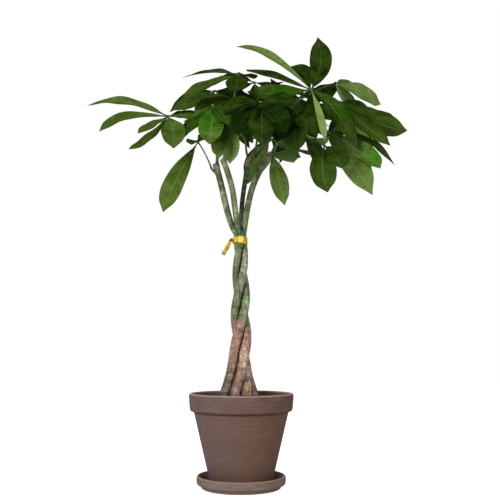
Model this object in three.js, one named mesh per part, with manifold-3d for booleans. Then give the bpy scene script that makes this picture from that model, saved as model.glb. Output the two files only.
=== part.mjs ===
// A potted money tree: three stems twisted into one trunk, in a clay pot on its saucer, with a crown
// of palmate leaves. Millimetres, +Z up, origin at the centre of the saucer's underside, and the
// photographed side faces -Y.
import * as THREE from "three";
import { mergeVertices } from "three/addons/utils/BufferGeometryUtils.js";
import Module from "manifold-3d";

const wasm = await Module();
wasm.setup();

const { Vector3, Vector2 } = THREE;
const UP = new Vector3(0, 0, 1);
const vec = (x, y, z) => new Vector3(x, y, z);
const radians = THREE.MathUtils.degToRad;
const mix = THREE.MathUtils.lerp;
const clamp = THREE.MathUtils.clamp;

// ---- driving dimensions ----
const CLEAR = 0.3; // gap between two pieces that touch on the real plant

const SAUCER_RADIUS = 79.8;
const SAUCER_HEIGHT = 21.9;
const SAUCER_FLOOR = 6;
const SAUCER_BASE_RADIUS = 71;
const SAUCER_STEP_Z = 6.8; // where the base ring gives way to the wider band

const RIM_RADIUS = 95; // the pot is sold by this width, 190 across its rim
const RIM_Z = 166; // top of the rim above the ground
const RIM_BAND = 28; // height of the straight band under the rim
const BODY_TOP_RADIUS = 85;
const BODY_FOOT_RADIUS = 55;
const POT_FLOOR = 8;
const DRAIN_RADIUS = 9.5;
const MOUTH_RADIUS = 87.3;
const INNER_FOOT_RADIUS = 47.5;
const POT_Z = SAUCER_FLOOR + CLEAR;
const POT_SIDES = 32;

const SOIL_EDGE_Z = 155; // the soil lies lower at the pot's wall
const SOIL_TOP_Z = 163.5; // and is heaped up at the trunk
const SOIL_SIDES = 26;

const TIE_Z = 444.4;
const TIE_WIDTH = 9;
const TIE_THICK = 1.1;
const TIE_SIDES = 14;

// The twist: each stem runs round the trunk's axis at its own start angle, right-handed.
const TWIST_PER_MM = 1.585; // degrees
const TWIST_TOP_Z = 457;
const TRUNK_X = -2.4; // the tie is a little left of the pot's centre
const TRUNK_SHIFT = 1.1; // and the trunk below it stands this much further right
const SHIFT_Z = 390; // from here down
const BUNDLE_RADIUS = 13.6; // outer radius of the three at the tie
const BUNDLE_SPREAD = 0.037; // how much wider it gets per millimetre down
const SPLAY_Z = 238; // below this the feet spread apart
const GROUND_Z = 168; // the height at which the feet's radii are given
const FOOT_THICK = 9.4; // radius of a foot at the ground
const ROOT_Z = 108; // the stems' lower ends, in the soil
const STEM_SIDES = 8;

// angle: place round the axis at the tie. foot: how far its foot is from the axis, and footTurn how far
// the stem still turns on its way down to it. upper: the free part above the tie, up to the cut top.
// limbs: a side branch or a root, with its radius at both ends. shoots: green shoots, with the radius
// at the start.
const STEMS = [
  {
    angle: 156, foot: 28, footTurn: 0, thick: 6.2,
    upper: [[-16.5, 2, 470], [-26.5, -3, 500], [-36.5, -6, 543], [-48.5, -8, 590]],
    limbs: [],
    shoots: [
      { thick: 3.3, path: [[-47, -8, 580], [-46, -8, 606], [-51, -6, 640], [-56, -2, 676]] },
      { thick: 2.6, path: [[-48, -8, 572], [-52, -9, 575], [-56, -10, 579], [-59, -11, 584]] },
    ],
  },
  {
    angle: -84, foot: 19.5, footTurn: 64, thick: 5.8,
    upper: [[-7, -11, 470], [-11.5, -15, 500], [-16.3, -18, 535], [-24.5, -21, 566], [-35, -24, 596]],
    limbs: [],
    shoots: [{ thick: 3.3, path: [[-33.5, -24, 588], [-28, -28, 616], [-18, -30, 652], [-16, -28, 700]] }],
  },
  {
    angle: 36, foot: 14, footTurn: 94, thick: 6.2,
    upper: [[5.5, 0, 470], [11.5, -8, 508], [21, -11, 546], [34, -12, 575], [47, -12, 592], [56, -12, 610]],
    limbs: [
      {
        thick: [4.9, 4.9],
        path: [
          [3.5, 4.3, 436], [2, 8, 454], [-1, 13, 474], [1, 18, 521], [6, 21, 561], [10, 22, 588], [15, 23, 612],
        ],
      },
      { thick: [5, 8], path: [[12, 2, 216], [16, 2, 194], [22, 2, 172], [29, 3, 140]] },
    ],
    shoots: [
      { thick: 3.8, path: [[55, -12, 602], [66, -14, 628], [80, -18, 656], [90, -18, 700]] },
      { thick: 2.6, path: [[14, 23, 603], [9, 25, 622], [7, 28, 644], [-6, 34, 690]] },
      { thick: 2.8, path: [[16, 23, 600], [25, 24, 622], [30, 26, 650], [34, 30, 706]] },
      { thick: 3.4, path: [[13, 23, 600], [32, 38, 622], [52, 56, 656], [66, 66, 704]] },
    ],
  },
];

// ---- the leaves ----
// The plant is looked at from EYE. A leaf's places are given as seen from there: across and up on
// the upright plane through the pot's axis, and then how far behind that plane the place really is.
const EYE = vec(16, -1350, 245);

function seen([across, up, behind]) {
  const reach = (behind - EYE.y) / -EYE.y;
  return vec(mix(EYE.x, across, reach), behind, mix(EYE.z, up, reach));
}

const BLADE_THICK = 0.8;
const LEAST_HALF = 0.7; // half width of a leaflet at its stalk and tip
const RIB_DEEP = 0.9; // how far the midrib stands out below the blade, at its base
const STALK_RADIUS = 1.3; // petiole
const HUB_RADIUS = 3.2;
const LEAFLET_STEPS = [0, 0.09, 0.26, 0.48, 0.72, 0.9, 1];
const STALKLET = 0.05; // share of a leaflet's length that is its own short stalk
const STALK_STEPS = 5;
const STALK_SIDES = 5;

// stem and shoot: what the stalk grows on, and at: how far up that shoot. hub: where its leaflets
// meet. tips: leaflets placed one by one, as [tip, middle, width, turn], where middle is the middle of
// the midrib, across and up, and turn is how far the blade is rolled from lying flat to facing the
// eye, in degrees. fan: leaflets that spread by a rule, as angles from the direction toward, in the
// leaf's own plane, which dips by dip. long and wide: the size of a fan's middle leaflet.
const LEAVES = [
  {
    stem: 0, at: 0.86, hub: [-141, 685, -30], toward: 180, dip: 12, long: 138, wide: 36,
    tips: [
      [[-295, 706, -14], [-223, 712], 37, 40],
      [[-271, 655, -70], [-219, 681], 36, 47],
      [[-215, 620, -112], [-179, 639], 24, 36],
      [[-198, 651, -140], [-169, 667], 24, 44],
      [[-129, 622, -136], [-131, 656], 43, 60],
      [[-90, 680, -60], [-114, 686], 26, 60],
    ],
    fan: [158],
  },
  {
    stem: 0, shoot: 1, at: 0.6, hub: [-83, 634, -40],
    tips: [
      [[-147, 499, -66], [-124, 560], 38, 85],
      [[-50, 641, 60], [-66, 643], 32, 36],
      [[-95, 629, 70], [-89, 637], 30, 50],
    ],
  },
  {
    stem: 0, at: 0.97, hub: [-55, 706, -100], toward: -100, dip: 14, long: 126, wide: 36,
    tips: [
      [[-61, 630, -196], [-58, 668], 43, 85],
      [[-112, 674, -70], [-84, 686], 30, 46],
      [[-103, 650, -150], [-86, 676], 20, 40],
      [[-26, 668, -170], [-38, 692], 38, 70],
    ],
    fan: [150],
  },
  {
    stem: 1, at: 0.6, hub: [-36, 684, -96],
    tips: [
      [[-43, 603, -176], [-40, 640], 32, 70],
      [[-23, 592, -150], [-23, 637], 33, 75],
      [[-12, 628, 10], [-22, 655], 34, 80],
      [[22, 632, -60], [0, 660], 34, 60],
    ],
  },
  {
    stem: 1, at: 0.95, hub: [-7, 767, -20],
    tips: [
      [[-115, 761, 44], [-61, 772], 38, 33],
      [[-116, 716, -84], [-67, 747], 30, 50],
      [[-13, 733, -140], [-9, 750], 40, 30],
      [[23, 759, 90], [9, 767], 34, 38],
      [[-84, 733, 60], [-46, 752], 34, 60],
    ],
  },
  {
    stem: 2, at: 0.9, hub: [133, 738, -80],
    tips: [
      [[-10, 824, -60], [55, 805], 25, 60],
      [[147, 843, -36], [151, 786], 41, 82],
      [[158, 636, -196], [150, 684], 21, 84],
      [[220, 620, -96], [178, 696], 37, 60],
      [[10, 734, -40], [66, 730], 40, 66],
      [[90, 783, 34], [114, 774], 38, 66],
      [[4, 765, 40], [56, 757], 34, 34],
    ],
  },
  {
    stem: 2, shoot: 3, at: 0.92, hub: [180, 751, 20], toward: 60, dip: 14, long: 120, wide: 34,
    tips: [
      [[266, 708, 92], [229, 731], 44, 84],
      [[226, 702, 96], [197, 722], 42, 82],
      [[152, 715, -86], [165, 730], 32, 50],
      [[232, 742, 150], [208, 750], 34, 50],
    ],
    fan: [62],
  },
  {
    stem: 2, at: 0.74, hub: [188, 713, -52],
    tips: [
      [[315, 657, -60], [256, 673], 46, 86],
      [[275, 619, -110], [229, 664], 36, 64],
      [[232, 628, -164], [206, 668], 37, 64],
      [[262, 676, 40], [226, 700], 37, 70],
    ],
  },
  {
    stem: 2, at: 0.5, hub: [168, 654, -50],
    tips: [
      [[246, 532, -100], [205, 601], 50, 84],
      [[262, 583, -96], [226, 616], 42, 66],
      [[289, 590, -16], [238, 634], 30, 50],
      [[246, 640, 60], [208, 656], 38, 70],
    ],
  },
  {
    stem: 2, at: 0.32, hub: [157, 627, -104],
    tips: [
      [[162, 537, -152], [153, 582], 46, 86],
      [[132, 641, -196], [146, 640], 34, 40],
      [[189, 583, -130], [179, 606], 42, 84],
    ],
  },
  {
    stem: 2, at: 0.14, hub: [57, 612, -40],
    tips: [
      [[81, 512, -66], [69, 563], 37, 84],
      [[98, 594, -132], [80, 606], 38, 64],
      [[135, 607, -92], [102, 616], 20, 34],
    ],
  },
  {
    stem: 2, shoot: 3, at: 0.3, hub: [54, 640, 96], toward: 70, dip: 22, long: 112, wide: 34,
    tips: [
      [[11, 553, 128], [31, 600], 38, 78],
      [[112, 604, 150], [86, 624], 36, 70],
      [[70, 600, 140], [66, 624], 36, 78],
      [[16, 636, 150], [34, 644], 34, 60],
    ],
    fan: [58],
  },
  {
    stem: 2, shoot: 1, at: 0.9, hub: [-52, 735, 110], toward: 112, dip: 16, long: 106, wide: 36,
    fan: [-112, -56, 0, 52],
  },
  {
    stem: 2, shoot: 2, at: 0.95, hub: [24, 752, 128], toward: 84, dip: 18, long: 126, wide: 36,
    fan: [-66, 0, 64, 124],
  },
  {
    stem: 2, shoot: 1, at: 0.5, hub: [-50, 690, 96], toward: 96, dip: 14, long: 112, wide: 34,
    fan: [-66, -8, 52],
  },
  {
    stem: 2, shoot: 3, at: 0.78, hub: [112, 722, 150], toward: 66, dip: 18, long: 124, wide: 36,
    fan: [-116, -58, 0, 58, 114],
  },
  {
    stem: 2, shoot: 3, at: 0.6, hub: [186, 690, 110], toward: 32, dip: 22, long: 104, wide: 36,
    fan: [-60, 0, 62, 120],
  },
  {
    stem: 2, shoot: 3, at: 0.46, hub: [120, 662, 140], toward: 60, dip: 24, long: 112, wide: 34,
    fan: [-112, -56, 4, 60],
  },
  {
    stem: 1, at: 0.8, hub: [36, 712, -124],
    tips: [
      [[-36, 690, -150], [0, 708], 40, 62],
      [[-10, 650, -176], [10, 688], 42, 74],
      [[38, 628, -204], [38, 674], 44, 84],
      [[84, 650, -196], [62, 688], 42, 74],
      [[104, 708, -130], [70, 716], 40, 60],
    ],
  },
  {
    stem: 2, at: 0.6, hub: [104, 690, -96],
    tips: [
      [[48, 680, -126], [76, 696], 38, 62],
      [[66, 634, -160], [83, 668], 42, 76],
      [[112, 612, -172], [108, 656], 46, 84],
      [[140, 646, -150], [124, 674], 42, 76],
      [[176, 676, -116], [142, 694], 38, 62],
    ],
  },
  {
    stem: 2, shoot: 2, at: 0.7, hub: [62, 738, 40], toward: 40, dip: 16, long: 112, wide: 34,
    fan: [-124, -60, 4, 66],
  },
  {
    stem: 2, shoot: 1, at: 0.72, hub: [-14, 722, 20], toward: 172, dip: 16, long: 100, wide: 34,
    tips: [
      [[-135, 696, -16], [-76, 716], 40, 62],
      [[-92, 690, -70], [-52, 710], 36, 62],
      [[40, 716, 90], [14, 724], 36, 60],
    ],
    fan: [-48],
  },
];

// A stalk or leaflet that would touch another leaf is bent clear of it: the first of these bends
// that leaves it free is taken. Leaflet: [degrees up, degrees round the hub, share of its length].
const BENDS = [[0, 0, 1]];
for (const size of [1, 0.9, 0.78, 0.66]) {
  for (const amount of [4, 8, 13, 19, 26, 34]) {
    BENDS.push([amount, 0, size], [-amount, 0, size], [0, amount, size], [0, -amount, size]);
    BENDS.push([amount, amount, size], [amount, -amount, size]);
    BENDS.push([-amount, amount, size], [-amount, -amount, size]);
  }
}
// Stalk: how far its middle is moved, in millimetres, sideways and up.
const BOWS = [
  [0, 0], [7, 0], [-7, 0], [0, 8], [14, 0], [-14, 0], [10, 10], [-10, 10], [22, 4], [-22, 4], [0, 18],
];

// A seeded stream of even draws between low and high.
function draws(seed) {
  let state = seed * 7919 + 17;
  return (low, high) => {
    state = (state * 16807) % 2147483647;
    return mix(low, high, state / 2147483647);
  };
}

// ---- closed surfaces and solids ----
// Joins a row of rings, each listed anticlockwise round the way they run, into one closed surface.
// capRows triangulates a ring. From corner mirrored on, quads are split along their other diagonal,
// which gives a thin blade the same triangles on both faces.
function loft(rings, capRows, mirrored = Infinity) {
  const sides = rings[0].length;
  const index = [];
  for (let row = 0; row + 1 < rings.length; row++) {
    for (let corner = 0; corner < sides; corner++) {
      const next = (corner + 1) % sides;
      const a = row * sides + corner;
      const b = row * sides + next;
      const c = b + sides;
      const d = a + sides;
      if (corner < mirrored) index.push(a, b, c, a, c, d);
      else index.push(a, b, d, b, c, d);
    }
  }
  const last = (rings.length - 1) * sides;
  for (const [a, b, c] of capRows) index.push(a, c, b, last + a, last + b, last + c);
  const geometry = new THREE.BufferGeometry().setFromPoints(rings.flat());
  geometry.setIndex(index);
  return geometry;
}

function fanCap(sides) {
  const rows = [];
  for (let corner = 1; corner + 1 < sides; corner++) rows.push([0, corner, corner + 1]);
  return rows;
}

function solidOf(geometry) {
  const plain = geometry.index ? geometry.toNonIndexed() : geometry.clone();
  plain.deleteAttribute("normal");
  plain.deleteAttribute("uv");
  const merged = mergeVertices(plain, 1e-4);
  const vertProperties = new Float32Array(merged.attributes.position.array);
  const triVerts = new Uint32Array(merged.index.array);
  return new wasm.Manifold(new wasm.Mesh({ numProp: 3, vertProperties, triVerts }));
}

function geometryOf(solid) {
  const { vertProperties, triVerts, numProp } = solid.getMesh();
  const position = new Float32Array((vertProperties.length / numProp) * 3);
  for (let i = 0; i * numProp < vertProperties.length; i++) {
    position.set(vertProperties.subarray(i * numProp, i * numProp + 3), i * 3);
  }
  const geometry = new THREE.BufferGeometry();
  geometry.setAttribute("position", new THREE.BufferAttribute(position, 3));
  geometry.setIndex(new THREE.BufferAttribute(triVerts, 1));
  geometry.computeVertexNormals();
  return geometry;
}

// A round tube with its own radius at each point of its path.
function tube(points, radii, sides) {
  const rings = points.map((point, i) => {
    const before = points[Math.max(i - 1, 0)];
    const after = points[Math.min(i + 1, points.length - 1)];
    const along = after.clone().sub(before).normalize();
    const reference = Math.abs(along.y) < 0.9 ? vec(0, 1, 0) : vec(1, 0, 0);
    const side = reference.cross(along).normalize();
    const normal = along.clone().cross(side);
    return Array.from({ length: sides }, (_, corner) => {
      const angle = (2 * Math.PI * corner) / sides;
      return point
        .clone()
        .addScaledVector(side, radii[i] * Math.cos(angle))
        .addScaledVector(normal, radii[i] * Math.sin(angle));
    });
  });
  return loft(rings, fanCap(sides));
}

function turned(profile, sides) {
  const points = profile.map(([radius, z]) => new Vector2(radius, z));
  return new THREE.LatheGeometry(points, sides).rotateX(Math.PI / 2);
}

// ---- pot, saucer and soil ----
function saucerGeometry() {
  return turned(
    [
      [0, 0],
      [SAUCER_BASE_RADIUS - 2, 0],
      [SAUCER_BASE_RADIUS, 1.4],
      [SAUCER_BASE_RADIUS + 0.8, SAUCER_STEP_Z - 0.8],
      [SAUCER_RADIUS - 2.2, SAUCER_STEP_Z],
      [SAUCER_RADIUS - 0.7, SAUCER_STEP_Z + 1.6],
      [SAUCER_RADIUS, SAUCER_HEIGHT - 2],
      [SAUCER_RADIUS - 1.6, SAUCER_HEIGHT],
      [SAUCER_RADIUS - 3.6, SAUCER_HEIGHT],
      [SAUCER_RADIUS - 5.4, SAUCER_HEIGHT - 3],
      [SAUCER_BASE_RADIUS - 1, SAUCER_FLOOR + 2.4],
      [SAUCER_BASE_RADIUS - 4.5, SAUCER_FLOOR],
      [0, SAUCER_FLOOR],
    ],
    POT_SIDES,
  );
}

// Radius of the pot's inner wall at a height above the ground.
function mouthRadius(z) {
  const floorZ = POT_Z + POT_FLOOR;
  return mix(INNER_FOOT_RADIUS, MOUTH_RADIUS, (z - floorZ) / (RIM_Z - 4 - floorZ));
}

function potGeometry() {
  const bandZ = RIM_Z - RIM_BAND - POT_Z;
  const top = RIM_Z - POT_Z;
  return turned(
    [
      [DRAIN_RADIUS, 0],
      [BODY_FOOT_RADIUS - 1.5, 0],
      [BODY_FOOT_RADIUS + 0.3, 1.5],
      [BODY_TOP_RADIUS, bandZ - 7.5],
      [RIM_RADIUS - 3.4, bandZ - 3.6],
      [RIM_RADIUS - 2, bandZ],
      [RIM_RADIUS, top - 3.5],
      [RIM_RADIUS - 1.3, top - 0.8],
      [RIM_RADIUS - 3.2, top],
      [MOUTH_RADIUS + 1.4, top - 0.4],
      [MOUTH_RADIUS, top - 4],
      [INNER_FOOT_RADIUS, POT_FLOOR + 1.5],
      [INNER_FOOT_RADIUS - 1.5, POT_FLOOR],
      [DRAIN_RADIUS, POT_FLOOR],
      [DRAIN_RADIUS, 0],
    ],
    POT_SIDES,
  );
}

function soilGeometry() {
  const bottom = POT_Z + POT_FLOOR + CLEAR;
  const wallGap = CLEAR + 0.2;
  const low = bottom + 1.6;
  const geometry = turned(
    [
      [0, bottom],
      [INNER_FOOT_RADIUS - 3, bottom],
      [mouthRadius(low) - wallGap - 0.6, low],
      [mouthRadius(SOIL_EDGE_Z) - wallGap, SOIL_EDGE_Z],
      [74, mix(SOIL_EDGE_Z, SOIL_TOP_Z, 0.25)],
      [57, mix(SOIL_EDGE_Z, SOIL_TOP_Z, 0.62)],
      [40, mix(SOIL_EDGE_Z, SOIL_TOP_Z, 0.9)],
      [0, SOIL_TOP_Z],
    ],
    SOIL_SIDES,
  );
  // Clods: the open surface is uneven, while its edge at the wall stays level.
  const place = geometry.attributes.position;
  for (let i = 0; i < place.count; i++) {
    const [x, y, z] = [place.getX(i), place.getY(i), place.getZ(i)];
    if (z <= SOIL_EDGE_Z + 0.5 || Math.hypot(x, y) < 1) continue;
    place.setZ(i, z + 1.3 * Math.sin(x * 0.21 + 1) * Math.cos(y * 0.17) + 0.7 * Math.sin(x * 0.5 - y * 0.43));
  }
  return geometry;
}

// ---- stems ----
// Distance of a stem's centre from the trunk's axis.
function ringRadius(stem, z) {
  const outer = BUNDLE_RADIUS + BUNDLE_SPREAD * (TIE_Z - Math.max(z, SPLAY_Z - 14));
  const tight = (outer + 0.175) / 1.853;
  const splay = clamp((SPLAY_Z - z) / (SPLAY_Z - GROUND_Z), 0, 1) ** 1.45;
  return mix(tight, stem.foot, splay);
}

// Three equal stems that just clear each other fill the ring, and the feet swell towards the ground.
function stemRadius(stem, z) {
  const tight = (1.706 * ringRadius({ foot: 11 }, z) - 0.35) / 2;
  if (z > TWIST_TOP_Z) return mix(tight, stem.thick, clamp((z - TWIST_TOP_Z) / 34, 0, 1));
  const swell = clamp((SPLAY_Z - z) / (SPLAY_Z - GROUND_Z), 0, 1);
  const buried = clamp((GROUND_Z - z) / (GROUND_Z - ROOT_Z), 0, 1);
  return mix(tight, FOOT_THICK, swell) * (1 - 0.3 * buried);
}

function stemPath(stem) {
  const points = [];
  for (const z of [ROOT_Z, 138, 158]) points.push(twistPoint(stem, z));
  for (let z = GROUND_Z; z < TWIST_TOP_Z; z += 12) points.push(twistPoint(stem, z));
  for (const [x, y, z] of stem.upper) points.push(vec(x, y, z));
  return new THREE.CatmullRomCurve3(points, false, "centripetal");
}

function twistPoint(stem, z) {
  const turning = TWIST_PER_MM * (clamp(z, SPLAY_Z, TIE_Z) - TIE_Z);
  const spread = clamp((SPLAY_Z - z) / (SPLAY_Z - GROUND_Z), 0, 1);
  const angle = radians(stem.angle + turning - stem.footTurn * spread);
  const radius = ringRadius(stem, z);
  const axisX = TRUNK_X + TRUNK_SHIFT * clamp((TIE_Z - z) / (TIE_Z - SHIFT_Z), 0, 1);
  return vec(axisX + radius * Math.cos(angle), radius * Math.sin(angle), z);
}

function shootPath(shoot) {
  return new THREE.CatmullRomCurve3(shoot.path.map(([x, y, z]) => vec(x, y, z)));
}

// One grown stem with its limbs and shoots, made larger all round by grow.
function stemSolid(stem, grow = 0) {
  const path = stemPath(stem);
  const steps = 32;
  const points = Array.from({ length: steps + 1 }, (_, i) => path.getPointAt(i / steps));
  const radii = points.map(({ z }, i) => stemRadius(stem, z) * (1 - 0.04 * ((i * 5) % 3)) + grow);
  let solid = solidOf(tube(points, radii, STEM_SIDES));
  for (const limb of stem.limbs) {
    const limbSteps = 10;
    const limbPoints = shootPath(limb).getSpacedPoints(limbSteps);
    const [start, end] = limb.thick;
    const limbRadii = limbPoints.map((_, i) => mix(start, end, i / limbSteps) * (1 - 0.04 * (i % 2)) + grow);
    solid = solid.add(solidOf(tube(limbPoints, limbRadii, STEM_SIDES)));
  }
  for (const shoot of stem.shoots) {
    const curve = shootPath(shoot);
    const along = [0, 0.2, 0.45, 0.72, 0.97, 1];
    const thin = [1, 0.92, 0.82, 0.72, 0.62, 0.3];
    const shootPoints = along.map((t) => curve.getPointAt(t));
    const shootRadii = thin.map((share) => shoot.thick * share + grow);
    solid = solid.add(solidOf(tube(shootPoints, shootRadii, STALK_SIDES)));
  }
  return solid;
}

// ---- tie ----
// A flat plastic strap: two turns that overlap, a knot at the left and one hanging tail.
function tieSolid() {
  const inner = (BUNDLE_RADIUS + 2 * CLEAR) / Math.cos(Math.PI / TIE_SIDES); // its flats clear the stems
  const band = (z, thick, tilt) => {
    const profile = [
      [inner, -TIE_WIDTH / 2],
      [inner + thick, -TIE_WIDTH / 2 + 0.3],
      [inner + thick, TIE_WIDTH / 2 - 0.3],
      [inner, TIE_WIDTH / 2],
      [inner, -TIE_WIDTH / 2],
    ];
    return solidOf(turned(profile, TIE_SIDES).rotateY(radians(tilt)).translate(TRUNK_X, 0, z));
  };
  const knotPlace = vec(TRUNK_X - inner * 1.12, -inner * 0.45, TIE_Z + 1);
  const knot = new THREE.IcosahedronGeometry(3.6, 0).scale(1, 0.8, 0.9);
  knot.translate(...knotPlace.toArray());
  const section = new THREE.Shape([
    new Vector2(-0.45, -3),
    new Vector2(0.45, -3),
    new Vector2(0.45, 3),
    new Vector2(-0.45, 3),
  ]);
  const tail = new THREE.CatmullRomCurve3([
    knotPlace,
    knotPlace.clone().add(vec(-4, -2.5, -8)),
    knotPlace.clone().add(vec(-9, -4, -17)),
    knotPlace.clone().add(vec(-15, -4.5, -27)),
  ]);
  const strip = new THREE.ExtrudeGeometry(section, { steps: 4, extrudePath: tail });
  return band(TIE_Z + 2.2, TIE_THICK, -2)
    .add(band(TIE_Z - 2.6, TIE_THICK * 1.6, 5))
    .add(solidOf(knot))
    .add(solidOf(strip));
}

// ---- leaves ----
// Half width of a leaflet at a share of its length, for a width of 1: a short stalk, then wedge-shaped,
// widest past the middle, and drawn out into a drip tip.
function outline(share) {
  const blade = clamp((share - STALKLET) / (1 - STALKLET), 0, 1);
  const tip = clamp((share - 0.82) / 0.18, 0, 1);
  const body = (blade ** 0.95 * (1 - blade) ** 0.75) / 0.3105;
  return (body / 2) * (1 - 0.45 * tip * tip * (3 - 2 * tip));
}

// The rings of a leaflet's six-cornered section: two upper and two lower blade edges, and the
// midrib above and below. The blade is folded up a little along its midrib.
function leafletRings(leaflet, shares, grow = 0) {
  const { base, middle, tip, face, width, fold, wave, phase } = leaflet;
  const ends = base.clone().add(tip).multiplyScalar(0.5);
  const spine = new THREE.QuadraticBezierCurve3(base, middle.clone().multiplyScalar(2).sub(ends), tip);
  return shares.map((share) => {
    const place = spine.getPoint(share);
    const along = spine.getTangent(share);
    const side = face.clone().cross(along).normalize();
    const normal = along.clone().cross(side);
    const half = Math.max(width * outline(share), LEAST_HALF) + grow;
    const fade = Math.sin(Math.PI * Math.min(share, 0.96));
    const raise = half * Math.sin(radians(fold)) * fade;
    const edge = BLADE_THICK / 2 + grow + 0.3 * (1 - share) ** 6;
    const rib = BLADE_THICK / 2 + grow + RIB_DEEP * (1 - share) ** 0.8;
    const ripple = (turn) => wave * fade * Math.sin(2 * Math.PI * (2.3 * share + turn) + phase);
    const corner = (across, up) => place.clone().addScaledVector(side, across).addScaledVector(normal, up);
    const right = raise + ripple(0);
    const left = raise + ripple(0.4);
    return [
      corner(half, right - edge),
      corner(half, right + edge),
      corner(0, BLADE_THICK / 2 + grow),
      corner(-half, left + edge),
      corner(-half, left - edge),
      corner(0, -rib),
    ];
  });
}

const LEAFLET_CAP = [[0, 1, 2], [0, 2, 5], [5, 2, 3], [5, 3, 4]];

function leafletSolid(leaflet, grow = 0) {
  return solidOf(loft(leafletRings(leaflet, LEAFLET_STEPS, grow), LEAFLET_CAP, 4));
}

// A leaflet bent about its hub.
function bent(leaflet, [rise, turn, size]) {
  const reach = leaflet.tip.clone().sub(leaflet.base);
  const flat = vec(reach.x, reach.y, 0);
  const hinge = flat.length() > 1 ? flat.normalize().cross(UP) : vec(1, 0, 0);
  const moved = (place) => {
    const from = place.clone().sub(leaflet.base).multiplyScalar(size);
    from.applyAxisAngle(hinge, radians(rise)).applyAxisAngle(UP, radians(turn));
    return from.add(leaflet.base);
  };
  const face = leaflet.face.clone().applyAxisAngle(UP, radians(turn));
  return { ...leaflet, middle: moved(leaflet.middle), tip: moved(leaflet.tip), face };
}

// All the leaflets of a leaf, before any bending.
function leafletsOf(leaf, number) {
  const draw = draws(number + 1);
  const hub = seen(leaf.hub);
  const list = [];
  const finish = (middle, tip, face, width) => {
    const fold = draw(12, 20);
    const wave = draw(0.6, 1.6);
    const phase = draw(0, 2 * Math.PI);
    list.push({ base: hub, middle, tip, face: face.normalize(), width, fold, wave, phase });
  };
  for (const [place, [across, up], width, turn] of leaf.tips ?? []) {
    const tip = seen(place);
    const middle = seen([across, up, mix(leaf.hub[2], place[2], 0.5)]);
    const out = vec(tip.x - hub.x, tip.y - hub.y, 0).normalize().multiplyScalar(0.3);
    const flat = UP.clone().add(out).multiplyScalar(Math.cos(radians(turn)));
    finish(middle, tip, flat.addScaledVector(vec(0, -1, 0.1), Math.sin(radians(turn))), width);
  }
  if (!leaf.fan) return list;
  const heading = radians(leaf.toward);
  const dip = radians(leaf.dip);
  const level = vec(Math.cos(heading), Math.sin(heading), 0);
  const forward = level.clone().multiplyScalar(Math.cos(dip)).addScaledVector(UP, -Math.sin(dip));
  const plane = level.clone().multiplyScalar(Math.sin(dip)).addScaledVector(UP, Math.cos(dip));
  for (const angle of leaf.fan) {
    const way = forward.clone().applyAxisAngle(plane, radians(angle + draw(-6, 6)));
    const droop = radians(draw(8, 24));
    const long = leaf.long * (1 - 0.28 * (Math.abs(angle) / 130) ** 2) * draw(0.94, 1.06);
    const reach = way
      .clone()
      .multiplyScalar(long * Math.cos(droop))
      .addScaledVector(UP, -long * Math.sin(droop));
    const out = vec(way.x, way.y, 0).normalize().multiplyScalar(0.45);
    const face = plane.clone().multiplyScalar(0.8).add(out).addScaledVector(UP, 0.3);
    const middle = hub.clone().addScaledVector(reach, 0.5).addScaledVector(UP, long * draw(0.06, 0.12));
    finish(middle, hub.clone().add(reach), face, (leaf.wide * long) / leaf.long);
  }
  return list;
}

// A leaf stalk from its shoot to its hub, with its middle moved by a bow.
function stalkSolid(leaf, [sideways, up], grow = 0) {
  const root = shootPath(STEMS[leaf.stem].shoots[leaf.shoot ?? 0]).getPointAt(leaf.at);
  const hub = seen(leaf.hub);
  const chord = hub.clone().sub(root);
  const aside = chord.clone().cross(UP).normalize();
  const shift = aside.multiplyScalar(sideways).addScaledVector(UP, up + 0.1 * chord.length());
  const path = new THREE.CubicBezierCurve3(
    root,
    root.clone().addScaledVector(chord, 0.3).add(shift),
    root.clone().addScaledVector(chord, 0.7).add(shift),
    hub,
  );
  const points = Array.from({ length: STALK_STEPS + 1 }, (_, i) => path.getPoint(i / STALK_STEPS));
  const radii = points.map((_, i) => {
    const share = i / STALK_STEPS;
    return STALK_RADIUS * (1 + 0.5 * (1 - share) ** 3 + 0.25 * share ** 4) + grow;
  });
  const hubBall = new THREE.OctahedronGeometry(HUB_RADIUS + grow, 0).translate(...hub.toArray());
  return solidOf(tube(points, radii, STALK_SIDES)).add(solidOf(hubBall));
}

// The first of a row of choices whose grown shape touches none of the obstacles.
function firstClear(choices, shape, obstacles) {
  return choices.find((choice) => {
    const grown = shape(choice, CLEAR + 0.1);
    const box = grown.boundingBox();
    return !obstacles.some((obstacle) => {
      const apart = [0, 1, 2].some(
        (k) => box.min[k] > obstacle.box.max[k] || box.max[k] < obstacle.box.min[k],
      );
      return !apart && grown.intersect(obstacle.solid).volume() > 0;
    });
  });
}

const obstacle = (solid, owner) => ({ solid, owner, box: solid.boundingBox() });

// Grows every leaf clear of the stems and of each other: first all the stalks, then the leaflets.
function leafSolids(stems) {
  const placed = stems.map((solid, i) => obstacle(solid, `stem ${i}`));
  const stalks = LEAVES.map((leaf, i) => {
    const others = placed.filter(({ owner }) => owner !== `stem ${leaf.stem}`);
    const bow = firstClear(BOWS, (choice, grow) => stalkSolid(leaf, choice, grow), others);
    const stalk = stalkSolid(leaf, bow ?? BOWS[0]).subtract(stemSolid(STEMS[leaf.stem], CLEAR));
    placed.push(obstacle(stalk, i));
    return stalk;
  });
  return LEAVES.map((leaf, i) => {
    let grown = stalks[i];
    for (const leaflet of leafletsOf(leaf, i)) {
      const others = placed.filter(({ owner }) => owner !== i);
      const bend = firstClear(BENDS, (choice, grow) => leafletSolid(bent(leaflet, choice), grow), others);
      if (!bend) continue;
      const blade = leafletSolid(bent(leaflet, bend));
      placed.push(obstacle(blade, i));
      grown = grown.add(blade);
    }
    return grown.simplify(0.035);
  });
}

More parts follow.
